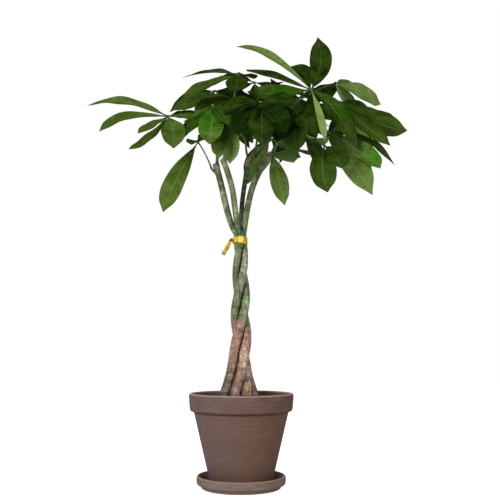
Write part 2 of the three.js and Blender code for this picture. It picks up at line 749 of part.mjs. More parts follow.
// ---- the plant ----
const FINISH = {
  pot: { color: 0x7a665c, roughness: 0.9, metalness: 0 },
  saucer: { color: 0x8a7468, roughness: 0.9, metalness: 0 },
  soil: { color: 0x3a2b20, roughness: 1, metalness: 0 },
  stem: { color: 0x7d7a55, roughness: 0.8, metalness: 0 },
  tie: { color: 0xf2c21a, roughness: 0.4, metalness: 0 },
  leaf: { color: 0x2f5a1c, roughness: 0.45, metalness: 0 },
};

function piece(name, geometry, finish) {
  const mesh = new THREE.Mesh(geometry, new THREE.MeshStandardMaterial(FINISH[finish]));
  mesh.name = name;
  return mesh;
}

const tree = new THREE.Group();
tree.add(piece("saucer", saucerGeometry(), "saucer"));

const pot = piece("pot", potGeometry(), "pot");
pot.position.z = POT_Z;
tree.add(pot);

let soil = solidOf(soilGeometry());
for (const stem of STEMS) soil = soil.subtract(stemSolid(stem, CLEAR));
tree.add(piece("soil", geometryOf(soil), "soil"));

const stems = STEMS.map((stem) => stemSolid(stem));
stems.forEach((solid, i) => tree.add(piece(`stem_${i + 1}`, geometryOf(solid), "stem")));

tree.add(piece("tie", geometryOf(tieSolid()), "tie"));

const crown = new THREE.Group();
leafSolids(stems).forEach((solid, i) => {
  crown.add(piece(`leaf_${String(i + 1).padStart(2, "0")}`, geometryOf(solid), "leaf"));
});
tree.add(crown);

export default tree;
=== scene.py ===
# %% [markdown]
# # A potted money tree
# The plant is three slim stems twisted into one trunk and tied with a yellow strap. One of them
# forks at the strap. Above is a crown of leaves whose leaflets spread like the fingers of a hand.
# The plant stands in a clay pot on a saucer. The CAD frame gives every place and size, and this
# lesson dresses it with finer pieces and finishes.

# %% Load the frame
import math

import bpy
import numpy as np
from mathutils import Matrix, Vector
from mathutils.kdtree import KDTree


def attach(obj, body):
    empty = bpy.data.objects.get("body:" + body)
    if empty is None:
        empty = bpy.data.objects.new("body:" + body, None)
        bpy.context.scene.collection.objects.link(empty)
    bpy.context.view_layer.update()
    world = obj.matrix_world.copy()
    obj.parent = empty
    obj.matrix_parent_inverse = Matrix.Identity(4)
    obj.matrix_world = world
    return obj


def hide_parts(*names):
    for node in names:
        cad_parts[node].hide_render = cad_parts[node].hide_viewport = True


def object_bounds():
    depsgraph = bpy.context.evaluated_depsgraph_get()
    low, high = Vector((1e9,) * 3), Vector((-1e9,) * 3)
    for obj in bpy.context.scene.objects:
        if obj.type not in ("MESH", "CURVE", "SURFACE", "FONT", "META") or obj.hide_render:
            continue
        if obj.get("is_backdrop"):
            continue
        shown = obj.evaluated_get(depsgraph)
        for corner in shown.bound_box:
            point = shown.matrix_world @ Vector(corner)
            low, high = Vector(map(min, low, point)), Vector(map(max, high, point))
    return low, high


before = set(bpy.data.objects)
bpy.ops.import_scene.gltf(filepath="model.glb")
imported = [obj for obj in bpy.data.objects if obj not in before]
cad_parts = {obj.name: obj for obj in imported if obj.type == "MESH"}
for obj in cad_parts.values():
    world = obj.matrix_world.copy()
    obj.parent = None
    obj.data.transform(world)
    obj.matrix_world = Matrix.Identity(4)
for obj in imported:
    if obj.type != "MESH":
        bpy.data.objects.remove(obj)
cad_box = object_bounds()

MM = 0.001  # the plant is described in millimetres, and Blender works in metres
print("CAD nodes:", len(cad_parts))

# %% [markdown]
# ## The camera
# The photograph was taken from a little above the pot's rim, 1.35 m away, and looks slightly up.
# A camera is only a place, a tilt and a focal length, so it is set by its numbers.

# %% Place the camera
EYE = (0.0158, -1.350, 0.2448)
LOOK_UP = math.radians(7.705)
FOCAL_MM = 52.71

camera_data = bpy.data.cameras.new("camera")
camera_data.lens = FOCAL_MM
camera = bpy.data.objects.new("camera", camera_data)
camera.location = EYE
camera.rotation_euler = (math.pi / 2 + LOOK_UP, 0, 0)
bpy.context.scene.collection.objects.link(camera)
bpy.context.scene.camera = camera
print("camera lens", FOCAL_MM, "mm")

# %% [markdown]
# ## Helpers for shaping
# Each piece starts from a primitive. Everything is deselected first, because an operator acts on
# all that is selected, and the finished piece rides on the plant's one body.


# %% Start, shape and hand over a piece
SHARP = 40  # degrees: flatter edges are shaded smooth


def only(*objects):
    """Selects these objects and nothing else."""
    bpy.ops.object.select_all(action="DESELECT")
    for piece in objects:
        piece.select_set(True)
    bpy.context.view_layer.objects.active = objects[-1]


def added(name, primitive, **settings):
    """Adds a primitive, names it, and puts its place and scale into its mesh."""
    bpy.ops.object.select_all(action="DESELECT")
    primitive(**settings)
    piece = bpy.context.active_object
    piece.name = piece.data.name = name
    bpy.ops.object.transform_apply(location=True, rotation=True, scale=True)
    return piece


def linked(name, data):
    """A new object in the scene that holds this data."""
    made = bpy.data.objects.new(name, data)
    bpy.context.scene.collection.objects.link(made)
    return made


def apply_all(piece):
    """Applies the piece's modifiers in order."""
    only(piece)
    for modifier in list(piece.modifiers):
        bpy.ops.object.modifier_apply(modifier=modifier.name)


def dented(piece, name, size, strength, level=0.5):
    """Gives a piece a Displace modifier that is driven by clouds of this size."""
    clouds = bpy.data.textures.new(name, "CLOUDS")
    clouds.noise_scale = size
    rough = piece.modifiers.new(name, "DISPLACE")
    rough.texture = clouds
    rough.strength = strength
    rough.mid_level = level


def rounded(piece, width, angle, steps=3):
    """Rounds the edges of a piece that are sharper than angle, and shades it smooth."""
    edge = piece.modifiers.new("rounded edge", "BEVEL")
    edge.width = width * MM
    edge.segments = steps
    edge.limit_method = "ANGLE"
    edge.angle_limit = math.radians(angle)
    apply_all(piece)
    bpy.ops.object.shade_smooth_by_angle(angle=math.radians(SHARP))


def faced_out(piece):
    """Turns all the faces of a piece outwards."""
    only(piece)
    bpy.ops.object.mode_set(mode="EDIT")
    bpy.ops.mesh.select_all(action="SELECT")
    bpy.ops.mesh.normals_make_consistent(inside=False)
    bpy.ops.object.mode_set(mode="OBJECT")


def hand_over(piece, slot, *nodes):
    """The piece rides on the plant and stands for these CAD nodes."""
    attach(piece, "root")
    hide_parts(*nodes)
    print(piece.name, len(piece.data.polygons), "faces")


def points_of(mesh):
    """The mesh's vertices as rows of x, y, z."""
    places = np.zeros(len(mesh.vertices) * 3)
    mesh.vertices.foreach_get("co", places)
    return places.reshape(-1, 3)


def move_points(mesh, places):
    """Moves the mesh's vertices to these rows of x, y, z."""
    mesh.vertices.foreach_set("co", np.asarray(places, float).ravel())
    mesh.update()


def add_value(mesh, name, values):
    """Gives each vertex of a mesh a number, which a material can read."""
    layer = mesh.attributes.get(name) or mesh.attributes.new(name, "FLOAT", "POINT")
    layer.data.foreach_set("value", np.asarray(values, np.float32))


# %% [markdown]
# ## Helpers for finishes
# Each finish is a tree of shader nodes. A short helper adds one node and links its inputs, so that
# each material below reads from top to bottom.


# %% Add and link shader nodes
def feed(tree, socket, value):
    """Links a node's output to a socket, or sets the socket to a plain value."""
    if isinstance(value, bpy.types.NodeSocket):
        tree.links.new(value, socket)
    else:
        socket.default_value = value


def node(tree, kind, links=None, **settings):
    """Adds a shader node. links sets or links its inputs, settings its options."""
    made = tree.nodes.new("ShaderNode" + kind)
    for name, value in settings.items():
        setattr(made, name, value)
    for name, value in (links or {}).items():
        feed(tree, made.inputs[name], value)
    return made


def ramp(tree, value, *stops):
    """A colour ramp: each stop is (place, grey value or colour)."""
    made = node(tree, "ValToRGB", {"Fac": value})
    elements = made.color_ramp.elements
    while len(elements) < len(stops):
        elements.new(0.5)
    for element, (place, shade) in zip(elements, stops):
        element.position = place
        colour = (shade, shade, shade) if isinstance(shade, (int, float)) else shade
        element.color = (*colour, 1)
    return made.outputs["Color"]


def blend(tree, share, first, second, how="MIX"):
    """Mixes two colours."""
    made = node(tree, "Mix", data_type="RGBA", blend_type=how)
    for place, value in ((0, share), (6, first), (7, second)):
        feed(tree, made.inputs[place], (*value, 1) if isinstance(value, tuple) else value)
    return made.outputs[2]


def sums(tree, how, *values):
    """Arithmetic on one or more values."""
    made = node(tree, "Math", operation=how)
    for socket, value in zip(made.inputs, values):
        feed(tree, socket, value)
    return made.outputs[0]


def own_space(tree):
    """A point's place in its piece, in metres."""
    return node(tree, "TexCoord").outputs["Object"]


def axes(tree, place):
    """The X, Y and Z of a place."""
    return node(tree, "SeparateXYZ", {"Vector": place}).outputs


def squeezed(tree, place, scale):
    """A place with each axis scaled, which stretches or flattens a texture."""
    return node(tree, "Mapping", {"Vector": place, "Scale": scale}).outputs[0]


def noise(tree, place, scale, **more):
    """A noise texture, as grey values about 0.5."""
    return node(tree, "TexNoise", {"Vector": place, "Scale": scale, **more}).outputs["Fac"]


def centred(tree, grey, size):
    """A noise that swings about 0 instead of 0.5, size times as far."""
    return sums(tree, "MULTIPLY_ADD", grey, size, -size / 2)


def far_from(tree, place, middle, reach):
    """How far a place is from the middle of a patch: 1 at its edge. middle and reach are in mm."""
    middle, inverse = [c * MM for c in middle], [1 / (c * MM) for c in reach]
    offset = node(tree, "VectorMath", {0: place, 1: middle}, operation="SUBTRACT").outputs[0]
    shrunk = node(tree, "VectorMath", {0: offset, 1: inverse}, operation="MULTIPLY").outputs[0]
    return node(tree, "VectorMath", {0: shrunk}, operation="LENGTH").outputs["Value"]


def material(name):
    """A new material with its tree and its main shader."""
    made = bpy.data.materials.new(name)
    made.use_nodes = True
    tree = made.node_tree
    return made, tree, tree.nodes["Principled BSDF"]


def finish(tree, shader, colour, roughness, relief, strength, depth):
    """Gives a shader its colour, its roughness, and a bump that is depth metres deep."""
    bump = node(tree, "Bump", {"Height": relief, "Strength": strength, "Distance": depth})
    for name, value in (("Base Color", colour), ("Roughness", roughness), ("Normal", bump.outputs[0])):
        feed(tree, shader.inputs[name], value)


def new_group(name, *outputs):
    """A node group with named outputs."""
    tree = bpy.data.node_groups.new(name, "ShaderNodeTree")
    for label in outputs:
        tree.interface.new_socket(label, in_out="OUTPUT", socket_type="NodeSocketFloat")
    return tree, tree.nodes.new("NodeGroupOutput").inputs


def use_group(tree, group):
    """Puts a node group in a tree, and gives its outputs."""
    made = tree.nodes.new("ShaderNodeGroup")
    made.node_tree = group
    return made.outputs


# %% [markdown]
# ## The pot and its saucer
# Both were thrown on a wheel, so a ring that is pulled up along the profile makes them. A circle
# is added at the foot, extruded and scaled for each step of the profile, closed at its end, and
# its corners are rounded with a Bevel. A turned surface could also be spun from a drawn profile,
# but pulling rings keeps the sides even and the seam closed.


# %% Pull a ring up along a profile
WHEEL_SIDES = 120


def thrown(name, profile, closed):
    """A turned shape from (radius, height) steps. closed joins the last ring to the first one."""
    radius, height = profile[0]
    piece = added(
        name, bpy.ops.mesh.primitive_circle_add,
        vertices=WHEEL_SIDES, radius=radius * MM, location=(0, 0, height * MM),
    )
    bpy.ops.object.mode_set(mode="EDIT")
    bpy.ops.mesh.select_all(action="SELECT")
    for next_radius, next_height in profile[1:]:
        bpy.ops.mesh.extrude_edges_move(TRANSFORM_OT_translate={"value": (0, 0, (next_height - height) * MM)})
        size = next_radius / radius
        bpy.ops.transform.resize(value=(size, size, 1), center_override=(0, 0, next_height * MM))
        radius, height = next_radius, next_height
    bpy.ops.mesh.select_all(action="DESELECT")
    bpy.ops.mesh.select_non_manifold()
    if closed:
        bpy.ops.mesh.bridge_edge_loops()
    else:
        bpy.ops.mesh.edge_face_add()
    bpy.ops.object.mode_set(mode="OBJECT")
    faced_out(piece)
    return piece


# %% Throw the pot
CLEAR = 0.3
SAUCER_FLOOR = 6
POT_Z = SAUCER_FLOOR + CLEAR
POT_PROFILE = [
    (9.5, 0), (53.5, 0), (55.3, 1.5), (85, 124.2), (86.4, 127.3), (91, 128.4), (92.6, 130.6),
    (93.2, 134), (94.8, 154.6), (93.9, 158.6), (91.8, 159.6), (88.8, 159.4), (87.3, 155.7),
    (47.5, 9.5), (46, 8), (9.5, 8),
]
pot = thrown("clay_pot", [(radius, height + POT_Z) for radius, height in POT_PROFILE], closed=True)
rounded(pot, 0.8, 16)

# %% Throw the saucer
SAUCER_PROFILE = [
    (69, 0), (71, 1.4), (71.8, 5.6), (73.4, 6.5), (77.8, 7), (79.3, 8.6), (79.8, 14), (79.6, 19.9),
    (78.2, 21.7), (76.2, 21.9), (74.4, 18.9), (70, 8.4), (66.5, 6.1), (60, SAUCER_FLOOR),
]
saucer = thrown("clay_saucer", SAUCER_PROFILE, closed=False)
rounded(saucer, 0.5, 18)

# %% [markdown]
# ## Unglazed clay
# The clay is a matt brown-grey with throwing lines round the pot, strongest on the rim, a
# mauve-grey bloom in level smears and a pale line round the top edge, and it is redder towards one
# side. Towards the other side the bloom grows as a painted sheen, and a dark line under the rim and
# the saucer's band is painted shadow. The two pieces share one node group of these effects, and
# each mixes them with its own colours.

# %% Build the group of clay effects
clay_group, out = new_group("thrown clay", "Rings", "Blotches", "Streaks", "Grain")
space = own_space(clay_group)
across = axes(clay_group, space)
around = sums(clay_group, "ARCTAN2", across["Y"], across["X"])
wound = node(clay_group, "CombineXYZ", {"X": sums(clay_group, "MULTIPLY", around, 0.012), "Z": across["Z"]})
level = squeezed(clay_group, space, (0.34, 0.34, 1))
for effect, grey in (
    ("Rings", noise(clay_group, wound.outputs[0], 260, Detail=4)),
    ("Blotches", noise(clay_group, space, 16, Detail=5, Roughness=0.6, Distortion=0.6)),
    ("Streaks", noise(clay_group, level, 34, Detail=7, Roughness=0.6, Distortion=0.4)),
    ("Grain", noise(clay_group, space, 900, Detail=3)),
):
    clay_group.links.new(grey, out[effect])
print("clay group outputs:", len(out) - 1)


# %% Mix the two clays
def clay(name, body, bloom, red, painted_shadow_line, pale_line, ridged_above):
    """Clay of a body colour with a bloom and a red tint; the bloom grows to the left as a painted sheen. Each
    line is (height, width) in mm: a painted shadow line and a pale line.
    """
    made, tree, shader = material(name)
    effect = use_group(tree, clay_group)
    place = axes(tree, own_space(tree))
    to_right = sums(tree, "MULTIPLY", place["X"], 1.8)
    redness = sums(tree, "ADD", effect["Blotches"], to_right)
    colour = blend(tree, ramp(tree, redness, (0.38, 0), (0.7, 1)), body, red)
    # the level smears are the clay's own bloom; its rise towards the left is a painted sheen, so the right
    # looks darker
    left_sheen = sums(tree, "MULTIPLY_ADD", to_right, -0.9, 0.26)
    bloom_and_sheen = sums(tree, "MULTIPLY_ADD", effect["Streaks"], 0.5, left_sheen)
    colour = blend(tree, ramp(tree, bloom_and_sheen, (0.42, 0), (0.72, 0.5)), colour, bloom)
    ridged = ramp(tree, sums(tree, "DIVIDE", place["Z"], ridged_above * MM), (0.99, 0.4), (1, 0.8))
    ridges = ramp(tree, effect["Rings"], (0.32, 0.66), (0.68, 1.16))
    colour = blend(tree, ridged, colour, ridges, how="MULTIPLY")
    grains = ramp(tree, effect["Grain"], (0.35, 0.5), (0.65, 1.1))
    colour = blend(tree, 0.4, colour, grains, how="MULTIPLY")
    # painted shadow: the dark line lies under the rim's overhang or the saucer's band; the pale line runs
    # round the top edge
    for (line, width), tint, how in (
        (painted_shadow_line, (0.34, 0.32, 0.3), "MULTIPLY"), (pale_line, (0.4, 0.3, 0.26), "MIX"),
    ):
        far = sums(tree, "ABSOLUTE", sums(tree, "SUBTRACT", place["Z"], line * MM))
        near = ramp(tree, sums(tree, "DIVIDE", far, width * MM), (0.25, 0.9), (1, 0))
        colour = blend(tree, near, colour, tint, how=how)
    grain = sums(tree, "MULTIPLY", effect["Grain"], 0.3)
    relief = sums(tree, "MULTIPLY_ADD", effect["Rings"], 0.8, grain)
    finish(tree, shader, colour, ramp(tree, effect["Streaks"], (0.3, 0.72), (0.7, 0.9)), relief, 0.6, 0.0012)
    return made


pot.data.materials.append(
    clay(
        "brown-grey clay", (0.124, 0.067, 0.048), (0.198, 0.136, 0.135), (0.134, 0.063, 0.031),
        painted_shadow_line=(133.6, 3.8), pale_line=(165.7, 2.6), ridged_above=136,
    )
)
saucer.data.materials.append(
    clay(
        "saucer clay", (0.195, 0.124, 0.103), (0.27, 0.205, 0.19), (0.195, 0.125, 0.092),
        painted_shadow_line=(6.9, 1.2), pale_line=(21.6, 0.9), ridged_above=9,
    )
)
hand_over(pot, "pot_clay", "pot")
hand_over(saucer, "saucer_clay", "saucer")

# %% [markdown]
# ## Potting soil
# The soil is heaped up at the trunk and lies lower at the wall. It starts as the same pulled rings,
# gets rough from two Displace modifiers, and loose clods, modelled once and copied, lie on it.

# %% Heap up the soil
SOIL_WALL = 84.9  # radius at the pot's wall, in millimetres
SOIL_EDGE = 154.8  # height at the wall
SOIL_RISE = 8.5  # how much higher the soil lies at the trunk
SOIL_STEPS = 27
SOIL_MIDDLE = 0.6  # radius of the last ring, which a face closes
SOIL_WITHIN = 0.0845  # no lump reaches farther out than this, in metres


def heap(share):
    """Height of the soil at a share of the way from the wall to the trunk."""
    return SOIL_EDGE + SOIL_RISE * math.sin(share * math.pi / 2) ** 1.1


SOIL_PROFILE = [(46, 15), (84.6, 154.6)]
for step in range(1, SOIL_STEPS):
    share = step / SOIL_STEPS
    SOIL_PROFILE.append((SOIL_WALL * (1 - share) + SOIL_MIDDLE * share, heap(share)))
soil = thrown("potting_soil", SOIL_PROFILE[::-1], closed=False)
dented(soil, "lumps", 0.016, 0.0035, level=0.6)
dented(soil, "crumbs", 0.0045, 0.0016, level=0.6)
apply_all(soil)
surface = points_of(soil.data)
reach = np.hypot(surface[:, 0], surface[:, 1])
surface[:, :2] *= np.minimum(1, SOIL_WITHIN / np.maximum(reach, 1e-9))[:, None]
move_points(soil.data, surface)

# %% Seeded draws
DRAW_STEP = 16807
DRAW_RANGE = 2147483647


def draws(seed):
    """A stream of even draws between low and high, the same on every run."""
    state = seed * 7919 + 17

    def draw(low, high):
        nonlocal state
        state = (state * DRAW_STEP) % DRAW_RANGE
        return low + (high - low) * state / DRAW_RANGE

    return draw


# %% Scatter clods on the soil
CLODS = 150
BIG_CLODS = 14
BIG = 1.5  # how many times larger they are
CLOD_FIELD = 80  # radius of the soil on which they lie
clod = added("clod", bpy.ops.mesh.primitive_ico_sphere_add, subdivisions=2, radius=1)
dented(clod, "dent", 0.9, 0.9)
apply_all(clod)
blank = points_of(clod.data)
draw = draws(501)
clods = []
for number in range(CLODS):
    angle, far = draw(0, 2 * math.pi), CLOD_FIELD * math.sqrt(draw(0.07, 1))
    size = np.array([draw(0.8, 2.6), draw(0.8, 2.2), draw(0.6, 1.4)]) * (BIG if number < BIG_CLODS else 1)
    place = np.array([far * math.cos(angle), far * math.sin(angle), heap(1 - far / SOIL_WALL)])
    clods.append(linked("clod", clod.data.copy()))
    move_points(clods[-1].data, (blank * size + place) * MM)
bpy.data.objects.remove(clod)
only(*clods, soil)
bpy.ops.object.join()
bpy.ops.object.shade_smooth()

# %% Dark soil
made, tree, shader = material("dark potting soil")
space = own_space(tree)
crumbs = noise(tree, space, 240, Detail=6, Roughness=0.7)
flecks = node(tree, "TexVoronoi", {"Vector": space, "Scale": 420}).outputs["Distance"]
colour = ramp(
    tree, crumbs, (0.3, (0.012, 0.007, 0.004)), (0.55, (0.045, 0.026, 0.015)), (0.75, (0.13, 0.08, 0.045)),
)
colour = blend(tree, ramp(tree, flecks, (0.03, 0.8), (0.07, 0)), colour, (0.3, 0.22, 0.14))
finish(tree, shader, colour, 0.95, crumbs, 0.8, 0.002)
soil.data.materials.append(made)
hand_over(soil, "soil", "soil")

# %% [markdown]
# ## The three stems
# Each stem is a long rod that winds round the others, leaves the bundle above the tie and ends in
# a sawn top, with green shoots beside it. One stem forks at the tie and has a root that runs out
# sideways, and two thin roots fill the gaps between the feet. A curve with its own thickness at
# each point gives each rod. The rods are then fused by a voxel remesh, as wood grows, and Smooth
# softens the joints. The turning rule is the one that the CAD solids follow.

# %% The rule of the twist
# Lengths are in millimetres, and a name that ends in Z is a height.
TIE_Z = 444.4
TWIST_TOP_Z = 457
TWIST_PER_MM = 1.585  # degrees
TRUNK_X = -2.4  # the axis at the tie, which leans by TRUNK_SHIFT down to SHIFT_Z
TRUNK_SHIFT = 1.1
SHIFT_Z = 390
BUNDLE_RADIUS = 13.6  # at the tie, and BUNDLE_SPREAD wider for each step down to STEADY_Z
BUNDLE_SPREAD = 0.037
STEADY_Z = 224
SPLAY_Z = 238  # the feet part below this, slowly at first by SPLAY_CURVE
SPLAY_CURVE = 1.45
GROUND_Z = 168
ROOT_Z = 108
CENTRES_APART = 1.706  # of two neighbours whose centres lie on a ring of radius 1
PLAY = 0.35  # the gap between two neighbours
UPPER_REACH = 34  # above the twist a stem takes this long to reach its own thickness
ROOT_TAPER = 0.3
SNUG_FOOT = 11  # a foot this far from the axis keeps the stems touching

# angle: the stem's place round the trunk at the tie, in degrees. foot: its distance from the axis
# at the ground. foot_turn: how much farther it turns there. thick: radii of the upper stem and the
# foot. upper: its path above the twist. limbs: (first radius, last radius, path). shoots: (radius, path).
STEMS = [
    {
        "angle": 156, "foot": 28, "foot_turn": 0, "foot_thick": 9.4, "thick": 6.2,
        "upper": [(-16.5, 2, 470), (-26.5, -3, 500), (-36.5, -6, 543), (-48.5, -8, 590)],
        "limbs": [(5, 6.5, [(-12.5, 0, 224), (-11, 0, 204), (-12, -1, 184), (-15, -2, 165), (-16, -2, 146)])],
        "shoots": [
            (3.3, [(-47, -8, 580), (-46, -8, 606), (-51, -6, 640), (-56, -2, 676)]),
            (2.6, [(-48, -8, 572), (-52, -9, 575), (-56, -10, 579), (-59, -11, 584)]),
        ],
    },
    {
        "angle": -84, "foot": 19.5, "foot_turn": 66, "foot_thick": 8.4, "thick": 5.8,
        "upper": [(-7, -11, 470), (-11.5, -15, 500), (-16.3, -18, 535), (-24.5, -21, 566), (-35, -24, 596)],
        "limbs": [],
        "shoots": [(3.3, [(-33.5, -24, 588), (-28, -28, 616), (-18, -30, 652), (-16, -28, 700)])],
    },
    {
        "angle": 36, "foot": 14, "foot_turn": 94, "foot_thick": 9.4, "thick": 6.2,
        "upper": [
            (5.5, 0, 470), (11.5, -8, 508), (21, -11, 546), (34, -12, 575), (47, -12, 592), (56, -12, 610),
        ],
        "limbs": [
            (4.9, 4.9, [
                (3.5, 4.3, 436), (2, 8, 454), (-1, 13, 474), (1, 18, 521), (6, 21, 561), (10, 22, 588),
                (15, 23, 612),
            ]),
            (5, 8, [(12, 2, 216), (16, 2, 194), (22, 2, 172), (29, 3, 140)]),
            (5, 8, [(10, -1, 216), (7, -4, 194), (4, -6, 174), (2, -7, 146)]),
        ],
        "shoots": [
            (3.8, [(55, -12, 602), (66, -14, 628), (80, -18, 656), (90, -18, 700)]),
            (2.6, [(14, 23, 603), (9, 25, 622), (7, 28, 644), (-6, 34, 690)]),
            (2.8, [(16, 23, 600), (25, 24, 622), (30, 26, 650), (34, 30, 706)]),
            (3.4, [(13, 23, 600), (32, 38, 622), (52, 56, 656), (66, 66, 704)]),
        ],
    },
]


def mixed(low, high, share):
    """The value at a share of the way from low to high."""
    return low + (high - low) * share


def held(value):
    """A share kept between 0 and 1."""
    return min(max(value, 0), 1)


def ring_radius(foot, z):
    """Distance of a stem's centre from the trunk's axis."""
    outer = BUNDLE_RADIUS + BUNDLE_SPREAD * (TIE_Z - max(z, STEADY_Z))
    snug = (outer + PLAY / 2) / (1 + CENTRES_APART / 2)
    return mixed(snug, foot, held((SPLAY_Z - z) / (SPLAY_Z - GROUND_Z)) ** SPLAY_CURVE)


def stem_radius(stem, z):
    """Radius of a stem: it fills the bundle, swells to its foot and thins out in the soil."""
    tight = (CENTRES_APART * ring_radius(SNUG_FOOT, z) - PLAY) / 2
    if z > TWIST_TOP_Z:
        return mixed(tight, stem["thick"], held((z - TWIST_TOP_Z) / UPPER_REACH))
    swell = held((SPLAY_Z - z) / (SPLAY_Z - GROUND_Z))
    thinner = 1 - ROOT_TAPER * held((GROUND_Z - z) / (GROUND_Z - ROOT_Z))
    return mixed(tight, stem["foot_thick"], swell) * thinner


def twist_point(stem, z):
    """The centre of a stem at a height in the twist."""
    turning = TWIST_PER_MM * (min(max(z, SPLAY_Z), TIE_Z) - TIE_Z)
    spread = held((SPLAY_Z - z) / (SPLAY_Z - GROUND_Z))
    angle = math.radians(stem["angle"] + turning - stem["foot_turn"] * spread)
    radius = ring_radius(stem["foot"], z)
    axis_x = TRUNK_X + TRUNK_SHIFT * held((TIE_Z - z) / (TIE_Z - SHIFT_Z))
    return (axis_x + radius * math.cos(angle), radius * math.sin(angle), z)


# %% A smooth path through points
def smooth_path(points, count):
    """Even places along a smooth curve through the points (centripetal Catmull-Rom)."""
    way = [np.array(point, float) for point in points]
    way = [2 * way[0] - way[1], *way, 2 * way[-1] - way[-2]]
    fine = []
    for a, b, c, d in zip(way, way[1:], way[2:], way[3:]):
        t1 = np.linalg.norm(b - a) ** 0.5
        t2 = t1 + np.linalg.norm(c - b) ** 0.5
        t3 = t2 + np.linalg.norm(d - c) ** 0.5
        for t in np.linspace(t1, t2, 24, endpoint=False):
            ab = mixed(a, b, t / t1)
            bc = mixed(b, c, (t - t1) / (t2 - t1))
            cd = mixed(c, d, (t - t2) / (t3 - t2))
            abc = mixed(ab, bc, t / t2)
            bcd = mixed(bc, cd, (t - t1) / (t3 - t1))
            fine.append(mixed(abc, bcd, (t - t1) / (t2 - t1)))
    fine = np.array([*fine, way[-2]])
    gone = np.concatenate([[0], np.cumsum(np.linalg.norm(np.diff(fine, axis=0), axis=1))])
    wanted = np.linspace(0, gone[-1], count)
    return np.stack([np.interp(wanted, gone, fine[:, k]) for k in range(3)], axis=1)


def rod(name, places, radii, sides=12):
    """A solid rod along places, in millimetres, from a curve that has its own radius at each point."""
    line = bpy.data.curves.new(name, "CURVE")
    line.dimensions = "3D"
    line.bevel_depth = MM
    line.bevel_resolution = max(sides // 4, 1)
    line.use_fill_caps = True
    spline = line.splines.new("POLY")
    spline.points.add(len(places) - 1)
    for point, place, radius in zip(spline.points, places, radii):
        point.co = (*(np.array(place) * MM), 1)
        point.radius = radius
    only(linked(name, line))
    bpy.ops.object.convert(target="MESH")
    return bpy.context.active_object


# %% Grow the stems
VOXEL = 0.95  # millimetres
KNOBS = 32
KNOB_MEAN, KNOB_SWELL = 0.965, 0.03
STEM_STEPS, LIMB_STEPS, SHOOT_STEPS = 170, 60, 40
SHOOT_SHARES = [0, 0.2, 0.45, 0.72, 0.97, 1]
SHOOT_THICKNESS = [1.15, 0.92, 0.82, 0.72, 0.62, 0.3]
SAWN_TOP = (1.05, 1.12, 1.12, 1.06)  # the last steps of a stem are knobby
GREEN_FROM_Z = 560
GREEN_FADE = 4  # over this the green of a shoot turns to bark
TOP_REACH = 22  # how far from the end of a stem its sawn top and tan skin are looked for
SAWN_DEPTH = 1.2
TAN_DEPTH, TAN_FADE = 24, 14


def knobbed(seed, count):
    """Uneven thickness along a rod, about 1, as bark has it at old leaf nodes."""
    draw = draws(seed)
    swell = [draw(-1, 1) for _ in range(KNOBS)]
    return KNOB_MEAN + KNOB_SWELL * np.interp(np.linspace(0, KNOBS - 1, count), range(KNOBS), swell)


def nearest(surface, ways):
    """The distance of each point of surface from the nearest place of several rods."""
    return np.min([np.linalg.norm(surface - place, axis=1) for way in ways for place in way], axis=0)


stems, wooden = [], []
for number, stem in enumerate(STEMS, start=1):
    heights = [ROOT_Z, 138, 158, *range(GROUND_Z, TWIST_TOP_Z, 12)]
    way = smooth_path([twist_point(stem, z) for z in heights] + stem["upper"], STEM_STEPS)
    radii = np.array([stem_radius(stem, place[2]) for place in way])
    rods = [(way, radii * knobbed(40 + number, STEM_STEPS))]
    for start, end, limb in stem["limbs"]:
        radii = np.linspace(start, end, LIMB_STEPS) * knobbed(50 + number, LIMB_STEPS)
        rods.append((smooth_path(limb, LIMB_STEPS), radii))
    tops = [(way, radii) for way, radii in rods if way[-1][2] > TIE_Z]
    for way, radii in tops:
        radii[-len(SAWN_TOP):] *= SAWN_TOP
    shoots = [(smooth_path(shoot, SHOOT_STEPS), thick) for thick, shoot in stem["shoots"]]
    thin = np.interp(np.linspace(0, 1, SHOOT_STEPS), SHOOT_SHARES, SHOOT_THICKNESS)
    parts = [rod(f"grown_stem_{number}", way, radii, 20) for way, radii in rods]
    parts += [rod("shoot", way, thick * thin) for way, thick in shoots]
    only(*parts[1:], parts[0])
    bpy.ops.object.join()
    grown = parts[0]
    fuse = grown.modifiers.new("fuse", "REMESH")
    fuse.mode = "VOXEL"
    fuse.voxel_size = VOXEL * MM
    soften = grown.modifiers.new("soften", "SMOOTH")
    soften.iterations = 3
    apply_all(grown)
    bpy.ops.object.shade_smooth()
    surface = points_of(grown.data) / MM
    to_stem = nearest(surface, [way for way, _ in rods])
    to_shoot = nearest(surface, [way for way, _ in shoots])
    green = np.clip((to_stem - to_shoot) / GREEN_FADE + 0.5, 0, 1) * (surface[:, 2] > GREEN_FROM_Z)
    sawn, tan = np.zeros(len(surface)), np.zeros(len(surface))
    for way, radii in tops:
        heading = (way[-1] - way[-6]) / np.linalg.norm(way[-1] - way[-6])
        here = (np.linalg.norm(surface - way[-1], axis=1) < TOP_REACH) & (to_stem < to_shoot + 1.5)
        beyond = (surface - way[-1]) @ heading
        sawn = np.maximum(sawn, np.clip(1 + beyond / SAWN_DEPTH, 0, 1) * here)
        tan = np.maximum(tan, np.clip((TAN_DEPTH + beyond) / TAN_FADE, 0, 1) * here)
    for name, values in (("green", green), ("sawn", sawn), ("tan", tan)):
        add_value(grown.data, name, values)
    stems.append(grown)
    wooden.append([(way[::2], radii[::2]) for way, radii in rods])

